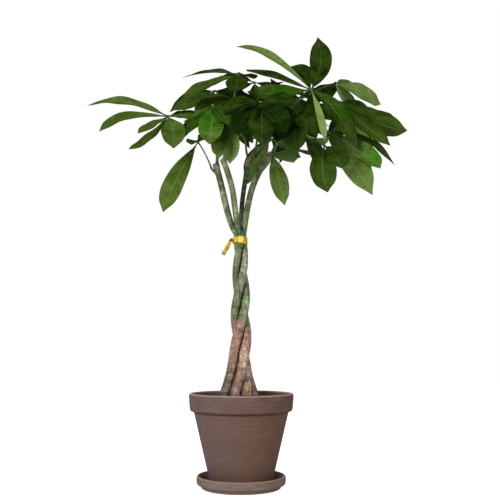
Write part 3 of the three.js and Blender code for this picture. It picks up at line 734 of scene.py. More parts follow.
# %% Note where the stems press on each other, for painted shade in the gaps
GAP_SHADE_REACH = 4.6  # millimetres
for grown, own in zip(stems, wooden):
    surface = points_of(grown.data) / MM
    gap = np.full(len(surface), 99.0)
    for way, radii in [rod_of for rods in wooden if rods is not own for rod_of in rods]:
        for place, radius in zip(way, radii):
            gap = np.minimum(gap, np.linalg.norm(surface - place, axis=1) - radius)
    add_value(grown.data, "painted_gap_shade", np.clip(1 - gap / GAP_SHADE_REACH, 0, 1))
    print(grown.name, len(surface), "points, the nearest neighbour at", round(float(gap.min()), 2), "mm")

# %% [markdown]
# ## Bark
# Near the ground the bark is pinkish brown with tan patches. Higher up it is smooth and grey-green,
# and the young shoots are green. Object height steers the change, noise breaks it up, and rings of
# old leaf scars cross the stems. Attributes made above mark the sawn tops and the shoots.

# %% Brown bark below, green bark above
made, tree, shader = material("money tree bark")
space = own_space(tree)
height = axes(tree, space)["Z"]
long_place = squeezed(tree, space, (1, 1, 0.22))
fibres = noise(tree, long_place, 260, Detail=5, Roughness=0.6)
patches = noise(tree, space, 42, Detail=4, Distortion=1)
spots = noise(tree, space, 110, Detail=3)
speckle = noise(tree, space, 240, Detail=3)
freckled = sums(tree, "MULTIPLY_ADD", speckle, 0.5, sums(tree, "MULTIPLY", patches, 0.5))
lower = ramp(
    tree, freckled,
    (0.35, (0.17, 0.125, 0.1)), (0.44, (0.33, 0.2, 0.155)),
    (0.54, (0.46, 0.275, 0.2)), (0.62, (0.6, 0.4, 0.24)),
)
streaks = noise(tree, long_place, 120, Detail=3)
streaks = sums(tree, "MULTIPLY_ADD", streaks, 0.65, sums(tree, "MULTIPLY", patches, 0.35))
upper = ramp(
    tree, streaks, (0.38, (0.055, 0.1, 0.026)), (0.5, (0.12, 0.168, 0.06)), (0.61, (0.28, 0.32, 0.17)),
)
BROWN_BELOW = 0.282  # metres above the ground, and the change takes GREEN_OVER
GREEN_OVER = 0.022
broken = sums(tree, "ADD", height, centred(tree, patches, 0.16))
share = sums(tree, "DIVIDE", sums(tree, "SUBTRACT", broken, BROWN_BELOW), GREEN_OVER)
ground = ramp(tree, height, (0.2, (0.78, 0.73, 0.68)), (0.26, (1.08, 0.96, 0.94)))
lower = blend(tree, 1, lower, ground, how="MULTIPLY")
colour = blend(tree, ramp(tree, share, (0, 0), (1, 1)), lower, upper)

# Flakes and scars at their own places, and two patches of painted shade: [place and reach in millimetres,
# colour]
FLAKES_AND_SHADE = [
    ((-30, -8, 182), (14, 20, 34), (0.15, 0.12, 0.088)),
    ((4, -17, 232), (9, 12, 20), (0.57, 0.4, 0.26)),
    ((-9, -24, 205), (7, 12, 11), (0.42, 0.26, 0.14)),
    ((-8, -22, 180), (7, 12, 9), (0.22, 0.16, 0.12)),
    ((13, -14, 178), (9, 12, 13), (0.45, 0.28, 0.14)),
    ((29, 0, 176), (9, 14, 16), (0.15, 0.11, 0.07)),
    ((11, -10, 207), (9, 12, 17), (0.62, 0.44, 0.4)),
    ((0, -17, 288), (5, 12, 7), (0.56, 0.28, 0.22)),
    ((8, -14, 364), (4, 12, 9), (0.55, 0.42, 0.26)),
    ((-1, -16, 355), (4, 12, 6), (0.52, 0.36, 0.28)),
    # painted shade: the dark crotch where the stems part just above the tie
    ((-1.5, -4, 468), (5, 14, 17), (0.03, 0.045, 0.035)),
    # painted shade: the limb that stands behind the others, dark as if in shade
    ((4, 19, 530), (16, 11, 80), (0.04, 0.042, 0.024)),
    ((6, -12, 405), (7, 12, 46), (0.3, 0.35, 0.23)),
    ((9, -12, 322), (7, 12, 34), (0.24, 0.33, 0.13)),
]
for place, reach, tint in FLAKES_AND_SHADE:
    ragged = sums(tree, "ADD", far_from(tree, space, place, reach), centred(tree, spots, 3.2))
    flecked = blend(tree, 1, tint, ramp(tree, speckle, (0.4, 0.5), (0.6, 1.45)), how="MULTIPLY")
    colour = blend(tree, ramp(tree, ragged, (0.7, 0.9), (1, 0)), colour, flecked)

# %% Scars, rings and fibres, then the marks on each stem and the painted shade between them
scar = noise(tree, squeezed(tree, space, (0.16, 0.16, 1)), 190, Detail=3)
scars = ramp(tree, scar, (0.56, 0), (0.62, 1))
below = ramp(tree, height, (0.27, 0.4), (0.33, 0.25))
colour = blend(tree, blend(tree, below, (0, 0, 0), scars), colour, (0.5, 0.42, 0.34), how="MULTIPLY")
pale_rings = ramp(tree, scar, (0.36, 1), (0.42, 0))
colour = blend(tree, blend(tree, 0.35, (0, 0, 0), pale_rings), colour, (0.5, 0.42, 0.3))
colour = blend(tree, 0.7, colour, ramp(tree, fibres, (0.36, 0.36), (0.62, 1.2)), how="MULTIPLY")
colour = blend(tree, ramp(tree, spots, (0.62, 0), (0.7, 0.3)), colour, (0.06, 0.05, 0.035))
skins = {
    "tan": ramp(tree, scar, (0.42, (0.2, 0.12, 0.08)), (0.5, (0.42, 0.25, 0.18)), (0.58, (0.62, 0.47, 0.33))),
    "green": ramp(tree, patches, (0.4, (0.05, 0.1, 0.02)), (0.65, (0.15, 0.2, 0.05))),
    "sawn": ramp(tree, fibres, (0.35, (0.07, 0.045, 0.03)), (0.65, (0.2, 0.14, 0.08))),
}
for name, skin in skins.items():
    colour = blend(tree, node(tree, "Attribute", attribute_name=name).outputs["Fac"], colour, skin)
# painted shade: darken the bark in the gaps where the stems press on each other
painted_gap_shade = node(tree, "Attribute", attribute_name="painted_gap_shade").outputs["Fac"]
gap_shade_share = ramp(tree, painted_gap_shade, (0.15, 0), (0.5, 0.6), (0.8, 1))
colour = blend(tree, gap_shade_share, colour, (0.06, 0.045, 0.03), how="MULTIPLY")
relief = sums(tree, "MULTIPLY_ADD", scars, 0.5, fibres)
finish(tree, shader, colour, 0.62, relief, 0.7, 0.0012)
for number, grown in enumerate(stems, start=1):
    grown.data.materials.clear()
    grown.data.materials.append(made)
    hand_over(grown, "bark", f"stem_{number}")

# %% [markdown]
# ## The strap
# A flat plastic strap goes twice round the bundle, is knotted at the left and ends in a short tail.
# A grid is one strip of strap: its length is laid along a path and its width stands up, then
# Solidify gives it its thickness.


# %% Lay a strip along a path
def strip(name, places, lean, width, thick):
    """A strap along places; lean holds the direction of its width at each place."""
    steps = len(places) - 1
    piece = added(name, bpy.ops.mesh.primitive_grid_add, x_subdivisions=steps, y_subdivisions=4, size=1)
    flat = points_of(piece.data)
    along = np.round((flat[:, 0] + 0.5) * steps).astype(int)
    places, lean = np.array(places, float), np.array(lean, float)
    move_points(piece.data, (places[along] + lean[along] * (flat[:, 1] * width)[:, None]) * MM)
    body = piece.modifiers.new("thickness", "SOLIDIFY")
    body.thickness = thick * MM
    body.offset = 0
    rounded(piece, 0.25, 30, steps=2)
    faced_out(piece)
    return piece


# %% Wrap the strap
# The strap is pulled tight over the three stems, so it runs straight from one stem to the next.
TURNS = 2
WRAP_STEPS = 72  # looks round the bundle in one turn
PATH_STEPS = 180
KNOT_SIDE = 200  # degrees: the strap starts and ends at the left
STRAP_THICK = 0.7
STRAP_WIDE = 8.2
STRAP_OFF = 0.65  # the middle of the strap lies this far off the stems
OVERLAP = 1.1  # and this many thicknesses farther off at its end
CLIMB = 0.02  # keeps the places of the path apart
HEIGHTS = (2.6, -1.2)  # of the first and the last turn, over the tie
SLOPES = (0.02, -0.13)  # theirs across the trunk, about the place LEVEL_X
LEVEL_X = -8
FLARE = 0.006  # the upper edge stands out a little
on_stems = [(np.array(twist_point(stem, TIE_Z)[:2]), stem_radius(stem, TIE_Z)) for stem in STEMS]
hull = []
for step in range(TURNS * WRAP_STEPS + 1):
    heading = math.radians(KNOT_SIDE + step * 360 / WRAP_STEPS)
    way = np.array([math.cos(heading), math.sin(heading)])
    reach = STRAP_OFF + STRAP_THICK * OVERLAP * step / (TURNS * WRAP_STEPS)
    x, y = max((centre + way * (radius + reach) for centre, radius in on_stems), key=way.dot)
    hull.append((x, y, CLIMB * step))
wrap, lean = [], []
for step, (x, y, _) in enumerate(smooth_path(hull, PATH_STEPS)):
    share = held(step / (PATH_STEPS - 1) * 2 - 0.5)
    wrap.append((x, y, TIE_Z + mixed(*HEIGHTS, share) + mixed(*SLOPES, share) * (x - LEVEL_X)))
    lean.append((FLARE * x, FLARE * y, 1))
turns = strip("yellow_strap", wrap, lean, STRAP_WIDE, STRAP_THICK)

# %% Knot it and trim its tail
KNOT = (-18.6, -5.6, 445.4)
TAIL_STEPS = 24
TAIL_WIDE = 7.4
knot = added(
    "knot", bpy.ops.mesh.primitive_ico_sphere_add,
    subdivisions=3, radius=3.1 * MM, location=[c * MM for c in KNOT],
)
dented(knot, "folds", 0.0035, 0.0022)
apply_all(knot)
bpy.ops.object.shade_smooth()
tail_path = smooth_path([KNOT, (-22.6, -8.3, 437.4), (-27.8, -9.8, 428.4), (-34.2, -10.5, 417.4)], TAIL_STEPS)
tail_lean = [(0.84, a, -0.5) for a in np.linspace(-0.35, 0.25, TAIL_STEPS)]
tail = strip("tail", tail_path, tail_lean, TAIL_WIDE, 0.8)

# %% Yellow plastic
# painted shade: a dark patch for the shaded gap below the knot
SHADED_GAP_PLACE, SHADED_GAP_REACH = (-7.8, -16, 440.5), (10, 62.5, 7.6923)  # the dark gap below the knot
made, tree, shader = material("yellow strap")
space = own_space(tree)
place = axes(tree, space)
stain = noise(tree, space, 160, Detail=3)
colour = ramp(tree, stain, (0.34, (0.6, 0.44, 0.012)), (0.52, (0.84, 0.61, 0.03)), (0.68, (0.95, 0.64, 0.16)))
# painted shade: the strap turns darker olive towards its right side
right_shade = ramp(tree, sums(tree, "MULTIPLY", place["X"], 100), (0.2, 0), (0.75, 0.8))
colour = blend(tree, right_shade, colour, (0.5, 0.4, 0.012))
aged = ramp(tree, stain, (0.42, (0.2, 0.11, 0.008)), (0.56, (0.46, 0.33, 0.012)), (0.68, (0.62, 0.46, 0.03)))
on_tail = ramp(tree, sums(tree, "MULTIPLY", place["X"], -10), (0.18, 0), (0.22, 1))
colour = blend(tree, on_tail, colour, aged)
colour = blend(tree, ramp(tree, place["Z"], (0.419, 0.85), (0.425, 0)), colour, (0.16, 0.17, 0.06))
# painted shade in the gap below the knot
gap = far_from(tree, space, SHADED_GAP_PLACE, SHADED_GAP_REACH)
colour = blend(tree, ramp(tree, gap, (0.14, 1), (0.3, 0)), colour, (0.035, 0.012, 0.006))
from_knot = far_from(tree, space, KNOT, (10, 10, 10))
colour = blend(tree, ramp(tree, from_knot, (0.3, 1), (0.48, 0)), colour, (0.1, 0.018, 0.008))
finish(tree, shader, colour, 0.32, noise(tree, space, 420, Detail=2), 0.3, 0.0006)
only(knot, tail, turns)
bpy.ops.object.join()
turns.data.materials.clear()
turns.data.materials.append(made)
hand_over(turns, "tie_plastic", "tie")

# %% [markdown]
# ## One leaflet blank
# All leaflets are alike: a blade with a raised midrib below, a fold along it, side veins that
# swell the blade between them, and a drip tip. One flat blank is modelled, a grid that Solidify
# gives a top, an underside and a rim. Each leaflet is a copy of it, laid along its own midrib.

# %% Model the blank
ROWS = 26
LANE_PLACES = [0, 0.09, 0.3, 0.55, 0.8, 1]  # the lanes lie closer near the midrib
leaflet_blank = added(
    "leaflet blank", bpy.ops.mesh.primitive_grid_add,
    x_subdivisions=ROWS, y_subdivisions=2 * (len(LANE_PLACES) - 1), size=1,
)
slab = leaflet_blank.modifiers.new("two faces", "SOLIDIFY")
slab.thickness = 0.2
slab.offset = 0
slab.use_even_offset = False
slab.material_offset = 1
slab.material_offset_rim = 1
apply_all(leaflet_blank)
flat = points_of(leaflet_blank.data)
SHARES = np.clip(flat[:, 0] + 0.5, 0, 1)
ACROSS = np.interp(np.abs(flat[:, 1]) * 2, np.linspace(0, 1, len(LANE_PLACES)), LANE_PLACES)
ACROSS *= np.sign(flat[:, 1])
IS_TOP = flat[:, 2] > 0
print("blank:", len(flat), "points,", IS_TOP.sum(), "on top")

# %% [markdown]
# ## Where the leaves are
# The leaves are placed as the CAD solids are: a hub and leaflet tips as seen in the photograph,
# with their depth, and for the hidden leaves a fan that spreads by a rule with seeded draws. The
# last number of a leaflet is its tone, from 0 for dark to 1 for pale: partly its age, old or young,
# and partly painted light and shade.

# %% The leaf table
SEEN_FROM = np.array([16, -1350, 245])  # the camera's place in whole millimetres
UP = np.array([0.0, 0.0, 1.0])


def leaf_at(stem, shoot, at, hub, *tips, fan=(), toward=0, dip=0, long=0, wide=0):
    """A row of the leaf table.

    stem and shoot say what the stalk grows on, and at how far up that shoot. hub is where the
    leaflets meet. tips: (tip, middle of the midrib, width, roll towards the eye in degrees, tone).
    fan: the angles of leaflets that spread by rule, from the heading toward, in a plane that dips.
    """
    return {
        "stem": stem, "shoot": shoot, "at": at, "hub": hub, "tips": tips, "fan": fan,
        "toward": toward, "dip": dip, "long": long, "wide": wide,
    }


LEAVES = [
    leaf_at(0, 0, 0.86, (-141, 685, -30),
            ((-295, 706, -14), (-223, 712), 37, 40, 0.5), ((-271, 655, -70), (-219, 681), 36, 47, 0.45),
            ((-215, 620, -112), (-179, 639), 24, 36, 0.45), ((-198, 651, -140), (-169, 667), 24, 44, 0.55),
            ((-129, 622, -136), (-131, 656), 43, 60, 0.55), ((-90, 680, -60), (-114, 686), 26, 60, 0.45),
            fan=(158,), toward=180, dip=12, long=138, wide=36),
    leaf_at(0, 1, 0.6, (-83, 634, -40),
            ((-147, 499, -66), (-124, 560), 38, 85, 0.45), ((-50, 641, 60), (-66, 643), 32, 36, 0.55),
            ((-95, 629, 70), (-89, 637), 30, 50, 0.45)),
    leaf_at(0, 0, 0.97, (-55, 706, -100),
            ((-61, 630, -196), (-58, 668), 43, 85, 0.5), ((-112, 674, -70), (-84, 686), 30, 46, 0.5),
            ((-103, 650, -150), (-86, 676), 20, 40, 0.3), ((-26, 668, -170), (-38, 692), 38, 70, 0.35),
            fan=(150,), toward=-100, dip=14, long=126, wide=36),
    leaf_at(1, 0, 0.6, (-36, 684, -96),
            ((-43, 603, -176), (-40, 640), 32, 70, 0.62), ((-23, 592, -150), (-23, 637), 33, 75, 0.85),
            ((-12, 628, 10), (-22, 655), 34, 80, 0.72), ((22, 632, -60), (0, 660), 34, 60, 0.45)),
    leaf_at(1, 0, 0.95, (-7, 767, -20),
            ((-115, 761, 44), (-61, 772), 38, 33, 0.4), ((-116, 716, -84), (-67, 747), 30, 50, 0.4),
            ((-13, 733, -140), (-9, 750), 40, 30, 0.2), ((23, 759, 90), (9, 767), 34, 38, 0.32),
            ((-84, 733, 60), (-46, 752), 34, 60, 0.3)),
    leaf_at(2, 0, 0.9, (133, 738, -80),
            ((-10, 824, -60), (55, 805), 25, 60, 0.65), ((147, 843, -36), (151, 786), 41, 82, 0.2),
            ((158, 636, -196), (150, 684), 21, 84, 1), ((220, 620, -96), (178, 696), 37, 60, 0.3),
            ((10, 734, -40), (66, 730), 40, 66, 0.35), ((90, 783, 34), (114, 774), 38, 66, 0.2),
            ((4, 765, 40), (56, 757), 34, 34, 0.2)),
    leaf_at(2, 3, 0.92, (180, 751, 20),
            ((266, 708, 92), (229, 731), 44, 84, 0.8), ((226, 702, 96), (197, 722), 42, 82, 0.95),
            ((152, 715, -86), (165, 730), 32, 50, 0.2), ((232, 742, 150), (208, 750), 34, 50, 0.7),
            fan=(62,), toward=60, dip=14, long=120, wide=34),
    leaf_at(2, 0, 0.74, (188, 713, -52),
            ((315, 657, -60), (256, 673), 46, 86, 0.35), ((275, 619, -110), (229, 664), 36, 64, 0.35),
            ((232, 628, -164), (206, 668), 37, 64, 0.3), ((262, 676, 40), (226, 700), 37, 70, 0.2)),
    leaf_at(2, 0, 0.5, (168, 654, -50),
            ((246, 532, -100), (205, 601), 50, 84, 0.7), ((262, 583, -96), (226, 616), 42, 66, 0.65),
            ((289, 590, -16), (238, 634), 30, 50, 0.35), ((246, 640, 60), (208, 656), 38, 70, 0.82)),
    leaf_at(2, 0, 0.32, (157, 627, -104),
            ((162, 537, -152), (153, 582), 46, 86, 0.3), ((132, 641, -196), (146, 640), 34, 40, 0.78),
            ((189, 583, -130), (179, 606), 42, 84, 0.25)),
    leaf_at(2, 0, 0.14, (57, 612, -40),
            ((81, 512, -66), (69, 563), 37, 84, 0.6), ((98, 594, -132), (80, 606), 38, 64, 0.95),
            ((135, 607, -92), (102, 616), 20, 34, 0.8)),
    leaf_at(2, 3, 0.3, (54, 640, 96),
            ((11, 553, 128), (31, 600), 38, 78, 0.65), ((112, 604, 150), (86, 624), 36, 70, 0.6),
            ((70, 600, 140), (66, 624), 36, 78, 0.18), ((16, 636, 150), (34, 644), 34, 60, 0.2),
            fan=(58,), toward=70, dip=22, long=112, wide=34),
    leaf_at(2, 1, 0.9, (-52, 735, 110), fan=(-112, -56, 0, 52), toward=112, dip=16, long=106, wide=36),
    leaf_at(2, 2, 0.95, (24, 752, 128), fan=(-66, 0, 64, 124), toward=84, dip=18, long=126, wide=36),
    leaf_at(2, 1, 0.5, (-50, 690, 96), fan=(-66, -8, 52), toward=96, dip=14, long=112, wide=34),
    leaf_at(2, 3, 0.78, (112, 722, 150), fan=(-116, -58, 0, 58, 114), toward=66, dip=18, long=124, wide=36),
    leaf_at(2, 3, 0.6, (186, 690, 110), fan=(-60, 0, 62, 120), toward=32, dip=22, long=104, wide=36),
    leaf_at(2, 3, 0.46, (120, 662, 140), fan=(-112, -56, 4, 60), toward=60, dip=24, long=112, wide=34),
    leaf_at(1, 0, 0.8, (36, 712, -124),
            ((-36, 690, -150), (0, 708), 40, 62, 0.08), ((-10, 650, -176), (10, 688), 42, 74, 0.03),
            ((38, 628, -204), (38, 674), 44, 84, 0.14), ((84, 650, -196), (62, 688), 42, 74, 0.08),
            ((104, 708, -130), (70, 716), 40, 60, 0.2)),
    leaf_at(2, 0, 0.6, (104, 690, -96),
            ((48, 680, -126), (76, 696), 38, 62, 0.1), ((66, 634, -160), (83, 668), 42, 76, 0.1),
            ((112, 612, -172), (108, 656), 46, 84, 0.25), ((140, 646, -150), (124, 674), 42, 76, 0.2),
            ((176, 676, -116), (142, 694), 38, 62, 0.15)),
    leaf_at(2, 2, 0.7, (62, 738, 40), fan=(-124, -60, 4, 66), toward=40, dip=16, long=112, wide=34),
    leaf_at(2, 1, 0.72, (-14, 722, 20),
            ((-135, 696, -16), (-76, 716), 40, 62, 0.4), ((-92, 690, -70), (-52, 710), 36, 62, 0.3),
            ((40, 716, 90), (14, 724), 36, 60, 0.05), fan=(-48,), toward=172, dip=16, long=100, wide=34),
]

# %% [markdown]
# ## How a leaflet lies
# A leaflet's midrib is an arc from the hub through its middle to its tip. Its blade faces up and
# outwards, rolled towards the eye where the photograph shows it broadside. Leaflets that would run
# into another leaf were bent clear in the CAD: the same row of bends is tried here, and the one
# whose section points lie on the CAD leaf is the bend that it has.


# %% Rules for the leaflets
def unit(vector):
    """The vector's direction, 1 long."""
    return vector / np.linalg.norm(vector)


def seen(place):
    """A place given across and up as it is seen from the eye, and how far behind the trunk it is."""
    across, up, behind = place
    reach = (behind - SEEN_FROM[1]) / -SEEN_FROM[1]
    return np.array([mixed(SEEN_FROM[0], across, reach), behind, mixed(SEEN_FROM[2], up, reach)])


def turned(vector, axis, degrees):
    """A vector turned about an axis."""
    axis, angle = unit(axis), math.radians(degrees)
    kept = vector * math.cos(angle) + np.cross(axis, vector) * math.sin(angle)
    return kept + axis * np.dot(axis, vector) * (1 - math.cos(angle))


FAN_EDGE = 130  # degrees from the middle of a fan, where a leaflet is SHORTER
SHORTER = 0.28


def leaflets_of(leaf, number):
    """All the leaflets of a leaf, before any bending."""
    draw = draws(number)
    hub = seen(leaf["hub"])
    found = []

    def add(middle, tip, face, width, tone):
        fold, wave, phase = draw(12, 20), draw(0.6, 1.6), draw(0, 2 * math.pi)
        found.append(
            {
                "base": hub, "middle": middle, "tip": tip, "face": unit(face), "width": width,
                "fold": fold, "wave": wave, "phase": phase, "tone": tone,
            }
        )

    for place, (across, up), width, turn, tone in leaf["tips"]:
        tip = seen(place)
        middle = seen((across, up, mixed(leaf["hub"][2], place[2], 0.5)))
        flat = UP + 0.3 * unit((tip - hub) * (1, 1, 0))
        roll = math.radians(turn)
        add(middle, tip, flat * math.cos(roll) + np.array([0, -1, 0.1]) * math.sin(roll), width, tone)
    heading, dip = math.radians(leaf["toward"]), math.radians(leaf["dip"])
    level = np.array([math.cos(heading), math.sin(heading), 0])
    forward = level * math.cos(dip) - UP * math.sin(dip)
    plane = level * math.sin(dip) + UP * math.cos(dip)
    for angle in leaf["fan"]:
        way = turned(forward, plane, angle + draw(-6, 6))
        droop = math.radians(draw(8, 24))
        long = leaf["long"] * (1 - SHORTER * (abs(angle) / FAN_EDGE) ** 2) * draw(0.94, 1.06)
        reach = way * long * math.cos(droop) - UP * long * math.sin(droop)
        face = plane * 0.8 + 0.45 * unit(way * (1, 1, 0)) + UP * 0.3
        middle = hub + reach / 2 + UP * long * draw(0.06, 0.12)
        add(middle, hub + reach, face, leaf["wide"] * long / leaf["long"], 0.2)
    return found


def bent(leaflet, rise, turn, size):
    """A leaflet bent about its hub."""
    reach = (leaflet["tip"] - leaflet["base"]) * (1, 1, 0)
    hinge = np.cross(unit(reach), UP) if np.linalg.norm(reach) > 1 else np.array([1.0, 0, 0])
    moved = dict(leaflet)
    for part in ("middle", "tip"):
        away = (leaflet[part] - leaflet["base"]) * size
        moved[part] = turned(turned(away, hinge, rise), UP, turn) + leaflet["base"]
    moved["face"] = turned(leaflet["face"], UP, turn)
    return moved


BENDS = [(0, 0, 1)]
for size in (1, 0.9, 0.78, 0.66):
    for amount in (4, 8, 13, 19, 26, 34):
        for rise, turn in ((1, 0), (-1, 0), (0, 1), (0, -1), (1, 1), (1, -1), (-1, 1), (-1, -1)):
            BENDS.append((rise * amount, turn * amount, size))


# %% The blade along its midrib
BLADE = 0.8  # thickness of the CAD blade, in millimetres
STALKLET = 0.05
DRIP_TIP = 0.18  # share of the length at which the tip narrows
WIDEST = 0.3105  # the outline's greatest value
SIDE_VEINS = 13
WAVES = 2.3  # along an edge


def half_width(share):
    """Half width of a leaflet of width 1 at a share of its length."""
    blade = np.clip((share - STALKLET) / (1 - STALKLET), 0, 1)
    tip = np.clip((share - (1 - DRIP_TIP)) / DRIP_TIP, 0, 1)
    outline = blade**0.95 * (1 - blade) ** 0.75 / WIDEST / 2
    return outline * (1 - 0.45 * tip * tip * (3 - 2 * tip))


def frame_along(leaflet, share):
    """Place, sideways and outward directions on the midrib, for a row of shares."""
    base, middle, tip = leaflet["base"], leaflet["middle"], leaflet["tip"]
    pull = 2 * middle - (base + tip) / 2
    s = np.asarray(share, float)[:, None]
    place = base * (1 - s) ** 2 + pull * 2 * s * (1 - s) + tip * s**2
    along = (pull - base) * (1 - s) + (tip - pull) * s
    along /= np.linalg.norm(along, axis=1)[:, None]
    side = np.cross(leaflet["face"], along)
    side /= np.linalg.norm(side, axis=1)[:, None]
    return place, side, np.cross(along, side)


def lift_of(leaflet, share, half):
    """How far the right and the left edge stand above the midrib: the fold and the waves."""
    fade = np.sin(np.pi * np.minimum(share, 0.96))
    raised = half * math.sin(math.radians(leaflet["fold"])) * fade
    swing = 2 * np.pi * WAVES * share + leaflet["phase"]
    wave = leaflet["wave"] * fade
    return raised + wave * np.sin(swing), raised + wave * np.sin(swing + 0.8 * np.pi)


CAD_SECTIONS = np.array([0.48, 0.72, 0.9])
CLOSE = 0.06  # millimetres: nearer than this to the CAD leaf is on it


def on_cad(leaflet, tree):
    """How far the leaflet's section points are from the CAD leaf's corners, at the least."""
    place, side, normal = frame_along(leaflet, CAD_SECTIONS)
    half = np.maximum(leaflet["width"] * half_width(CAD_SECTIONS), 0.7)
    right, left = lift_of(leaflet, CAD_SECTIONS, half)
    corners = [
        place + side * (way * half)[:, None] + normal * (lift + BLADE / 2)[:, None]
        for way, lift in ((1, right), (-1, left))
    ]
    return [tree.find(Vector(corner))[2] for row in corners for corner in row]


def matched(leaflet, tree):
    """The first of the bends that puts the leaflet on the CAD leaf, or None."""
    for bend in BENDS:
        candidate = bent(leaflet, *bend)
        if np.median(on_cad(candidate, tree)) < CLOSE:
            return candidate
    return None


# %% Lay the blanks on their midribs
VEIN_SWELL = 0.1  # millimetres, as the next three
BASE_THICK = 0.75  # what the blade gains at its base
GROOVE = 0.25  # the midrib's dent in the upper face
RIB_DEEP = 0.95  # how far the midrib stands out below
RIB_WIDE = 0.2  # half its width, as a share of the blade's


def laid(leaflet):
    """Places of the blank's points for one leaflet."""
    share = SHARES
    place, side, normal = frame_along(leaflet, share)
    half = np.maximum(leaflet["width"] * half_width(share), mixed(1.0, 0.35, share))
    right, left = lift_of(leaflet, share, half)
    out = np.abs(ACROSS)
    lift = np.where(ACROSS > 0, right, left) * out**1.25
    veins = np.sin(2 * np.pi * (SIDE_VEINS * share - 1.8 * out + 0.5 * (ACROSS < 0)))
    lift += VEIN_SWELL * veins * np.sin(np.pi * out) * np.sin(np.pi * share)
    rib = np.clip(1 - out / RIB_WIDE, 0, 1)
    thick = mixed(0.2, 0.12, out) + BASE_THICK * (1 - share) ** 9
    top = lift + thick - GROOVE * rib * np.sin(np.pi * share)
    below = lift - thick - RIB_DEEP * rib * (1 - share) ** 0.8
    height = np.where(IS_TOP, top, below)
    return place + side * (half * ACROSS)[:, None] + normal * height[:, None]


STALK_STEPS = 22
SHOOT_PLACES = 200  # places on a shoot where a stalk can start


def stalk_path(leaf):
    """The arc of a leaf stalk, from its shoot to its hub."""
    shoot = STEMS[leaf["stem"]]["shoots"][leaf["shoot"]][1]
    root = smooth_path(shoot, SHOOT_PLACES)[round(leaf["at"] * (SHOOT_PLACES - 1))]
    hub = seen(leaf["hub"])
    chord = hub - root
    shift = UP * 0.1 * np.linalg.norm(chord)
    near, far = root + 0.3 * chord + shift, root + 0.7 * chord + shift
    s = np.linspace(0, 1, STALK_STEPS)[:, None]
    arc = root * (1 - s) ** 3 + near * 3 * s * (1 - s) ** 2 + far * 3 * s**2 * (1 - s) + hub * s**3
    return arc, hub


# %% Grow the leaves
# The photograph shows these leaflets slimmer than their solids: (leaf, leaflet) and share of width.
SLIMMER = {(6, 0): 0.74, (6, 2): 0.64, (7, 0): 0.84, (11, 0): 0.88}
STALK_RADIUS = 1.25
HUB_RADIUS = 2.9
leaves = []
missing = 0
for number, leaf in enumerate(LEAVES, start=1):
    corners = points_of(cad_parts[f"leaf_{number:02d}"].data) / MM
    tree = KDTree(len(corners))
    for k, corner in enumerate(corners):
        tree.insert(Vector(corner), k)
    tree.balance()
    blades = []
    draw = draws(900 + number)
    for place, leaflet in enumerate(leaflets_of(leaf, number)):
        lying = matched(leaflet, tree)
        if lying is None:
            missing += 1
            continue
        lying["width"] *= SLIMMER.get((number, place), 1)
        blade = linked(f"leaflet {number}", leaflet_blank.data.copy())
        move_points(blade.data, laid(lying) * MM)
        # the tone is partly the leaflet's age and partly painted light and shade
        add_value(blade.data, "tone", np.full(len(SHARES), leaflet["tone"] + draw(-0.05, 0.05)))
        blades.append(blade)
    arc, hub = stalk_path(leaf)
    share = np.linspace(0, 1, len(arc))
    radii = STALK_RADIUS * (1 + 0.75 * (1 - share) ** 6 + 0.35 * share**8)
    stalk = rod(f"grown_leaf_{number}", arc, radii)
    stalk.data.materials.clear()
    knuckle = added(
        "knuckle", bpy.ops.mesh.primitive_uv_sphere_add,
        segments=14, ring_count=9, radius=HUB_RADIUS * MM, location=hub * MM,
    )
    only(knuckle, stalk)
    bpy.ops.object.join()
    bpy.ops.object.shade_smooth()
    leaves.append((stalk, blades))
print("leaflets without a CAD place:", missing)

# %% [markdown]
# ## The look of a leaf
# The upper face is deep green with a pale midrib and fine side veins that run forward to the edge.
# The underside is paler and more matt. Young leaflets are pale, and the same tone also carries painted
# light and shade. The veins come from the blade's own UV map, so one node group draws them on every
# leaflet.

# %% Draw the veins once
vein_group, out = new_group("leaf veins", "Midrib", "Side", "Relief")
parts = axes(vein_group, node(vein_group, "UVMap", uv_map="leaf").outputs["UV"])
off = sums(vein_group, "ABSOLUTE", sums(vein_group, "SUBTRACT", parts["Y"], 0.5))
off = sums(vein_group, "MULTIPLY", off, 2)
left_side = sums(vein_group, "GREATER_THAN", parts["Y"], 0.5)
rib_width = sums(vein_group, "MULTIPLY_ADD", parts["X"], -0.035, 0.07)
midrib = ramp(vein_group, sums(vein_group, "DIVIDE", off, rib_width), (0.35, 1), (0.95, 0))
forward = sums(vein_group, "MULTIPLY", sums(vein_group, "POWER", off, 1.25), -0.135)
bow = sums(vein_group, "MULTIPLY", sums(vein_group, "ADD", parts["X"], forward), SIDE_VEINS)
bow = sums(vein_group, "FRACT", sums(vein_group, "MULTIPLY_ADD", left_side, 0.5, bow))
near = sums(vein_group, "ABSOLUTE", sums(vein_group, "SUBTRACT", bow, 0.5))
side = ramp(vein_group, near, (0, 1), (0.11, 0))
side = sums(vein_group, "MULTIPLY", side, ramp(vein_group, off, (0.75, 1), (0.97, 0)))
dome = ramp(vein_group, near, (0, 0), (0.35, 1))
relief = sums(vein_group, "MULTIPLY_ADD", midrib, -0.6, dome)
for name, value in (("Midrib", midrib), ("Side", side), ("Relief", relief)):
    vein_group.links.new(value, out[name])

# %% Mix the leaf's faces
# Fresh, bright green growth and painted sheen sit round these places: across, up and reach, in millimetres.
FRESH_AND_SHEEN = [(-58, 632, 50), (75, 707, 34), (187, 664, 26), (238, 585, 30)]


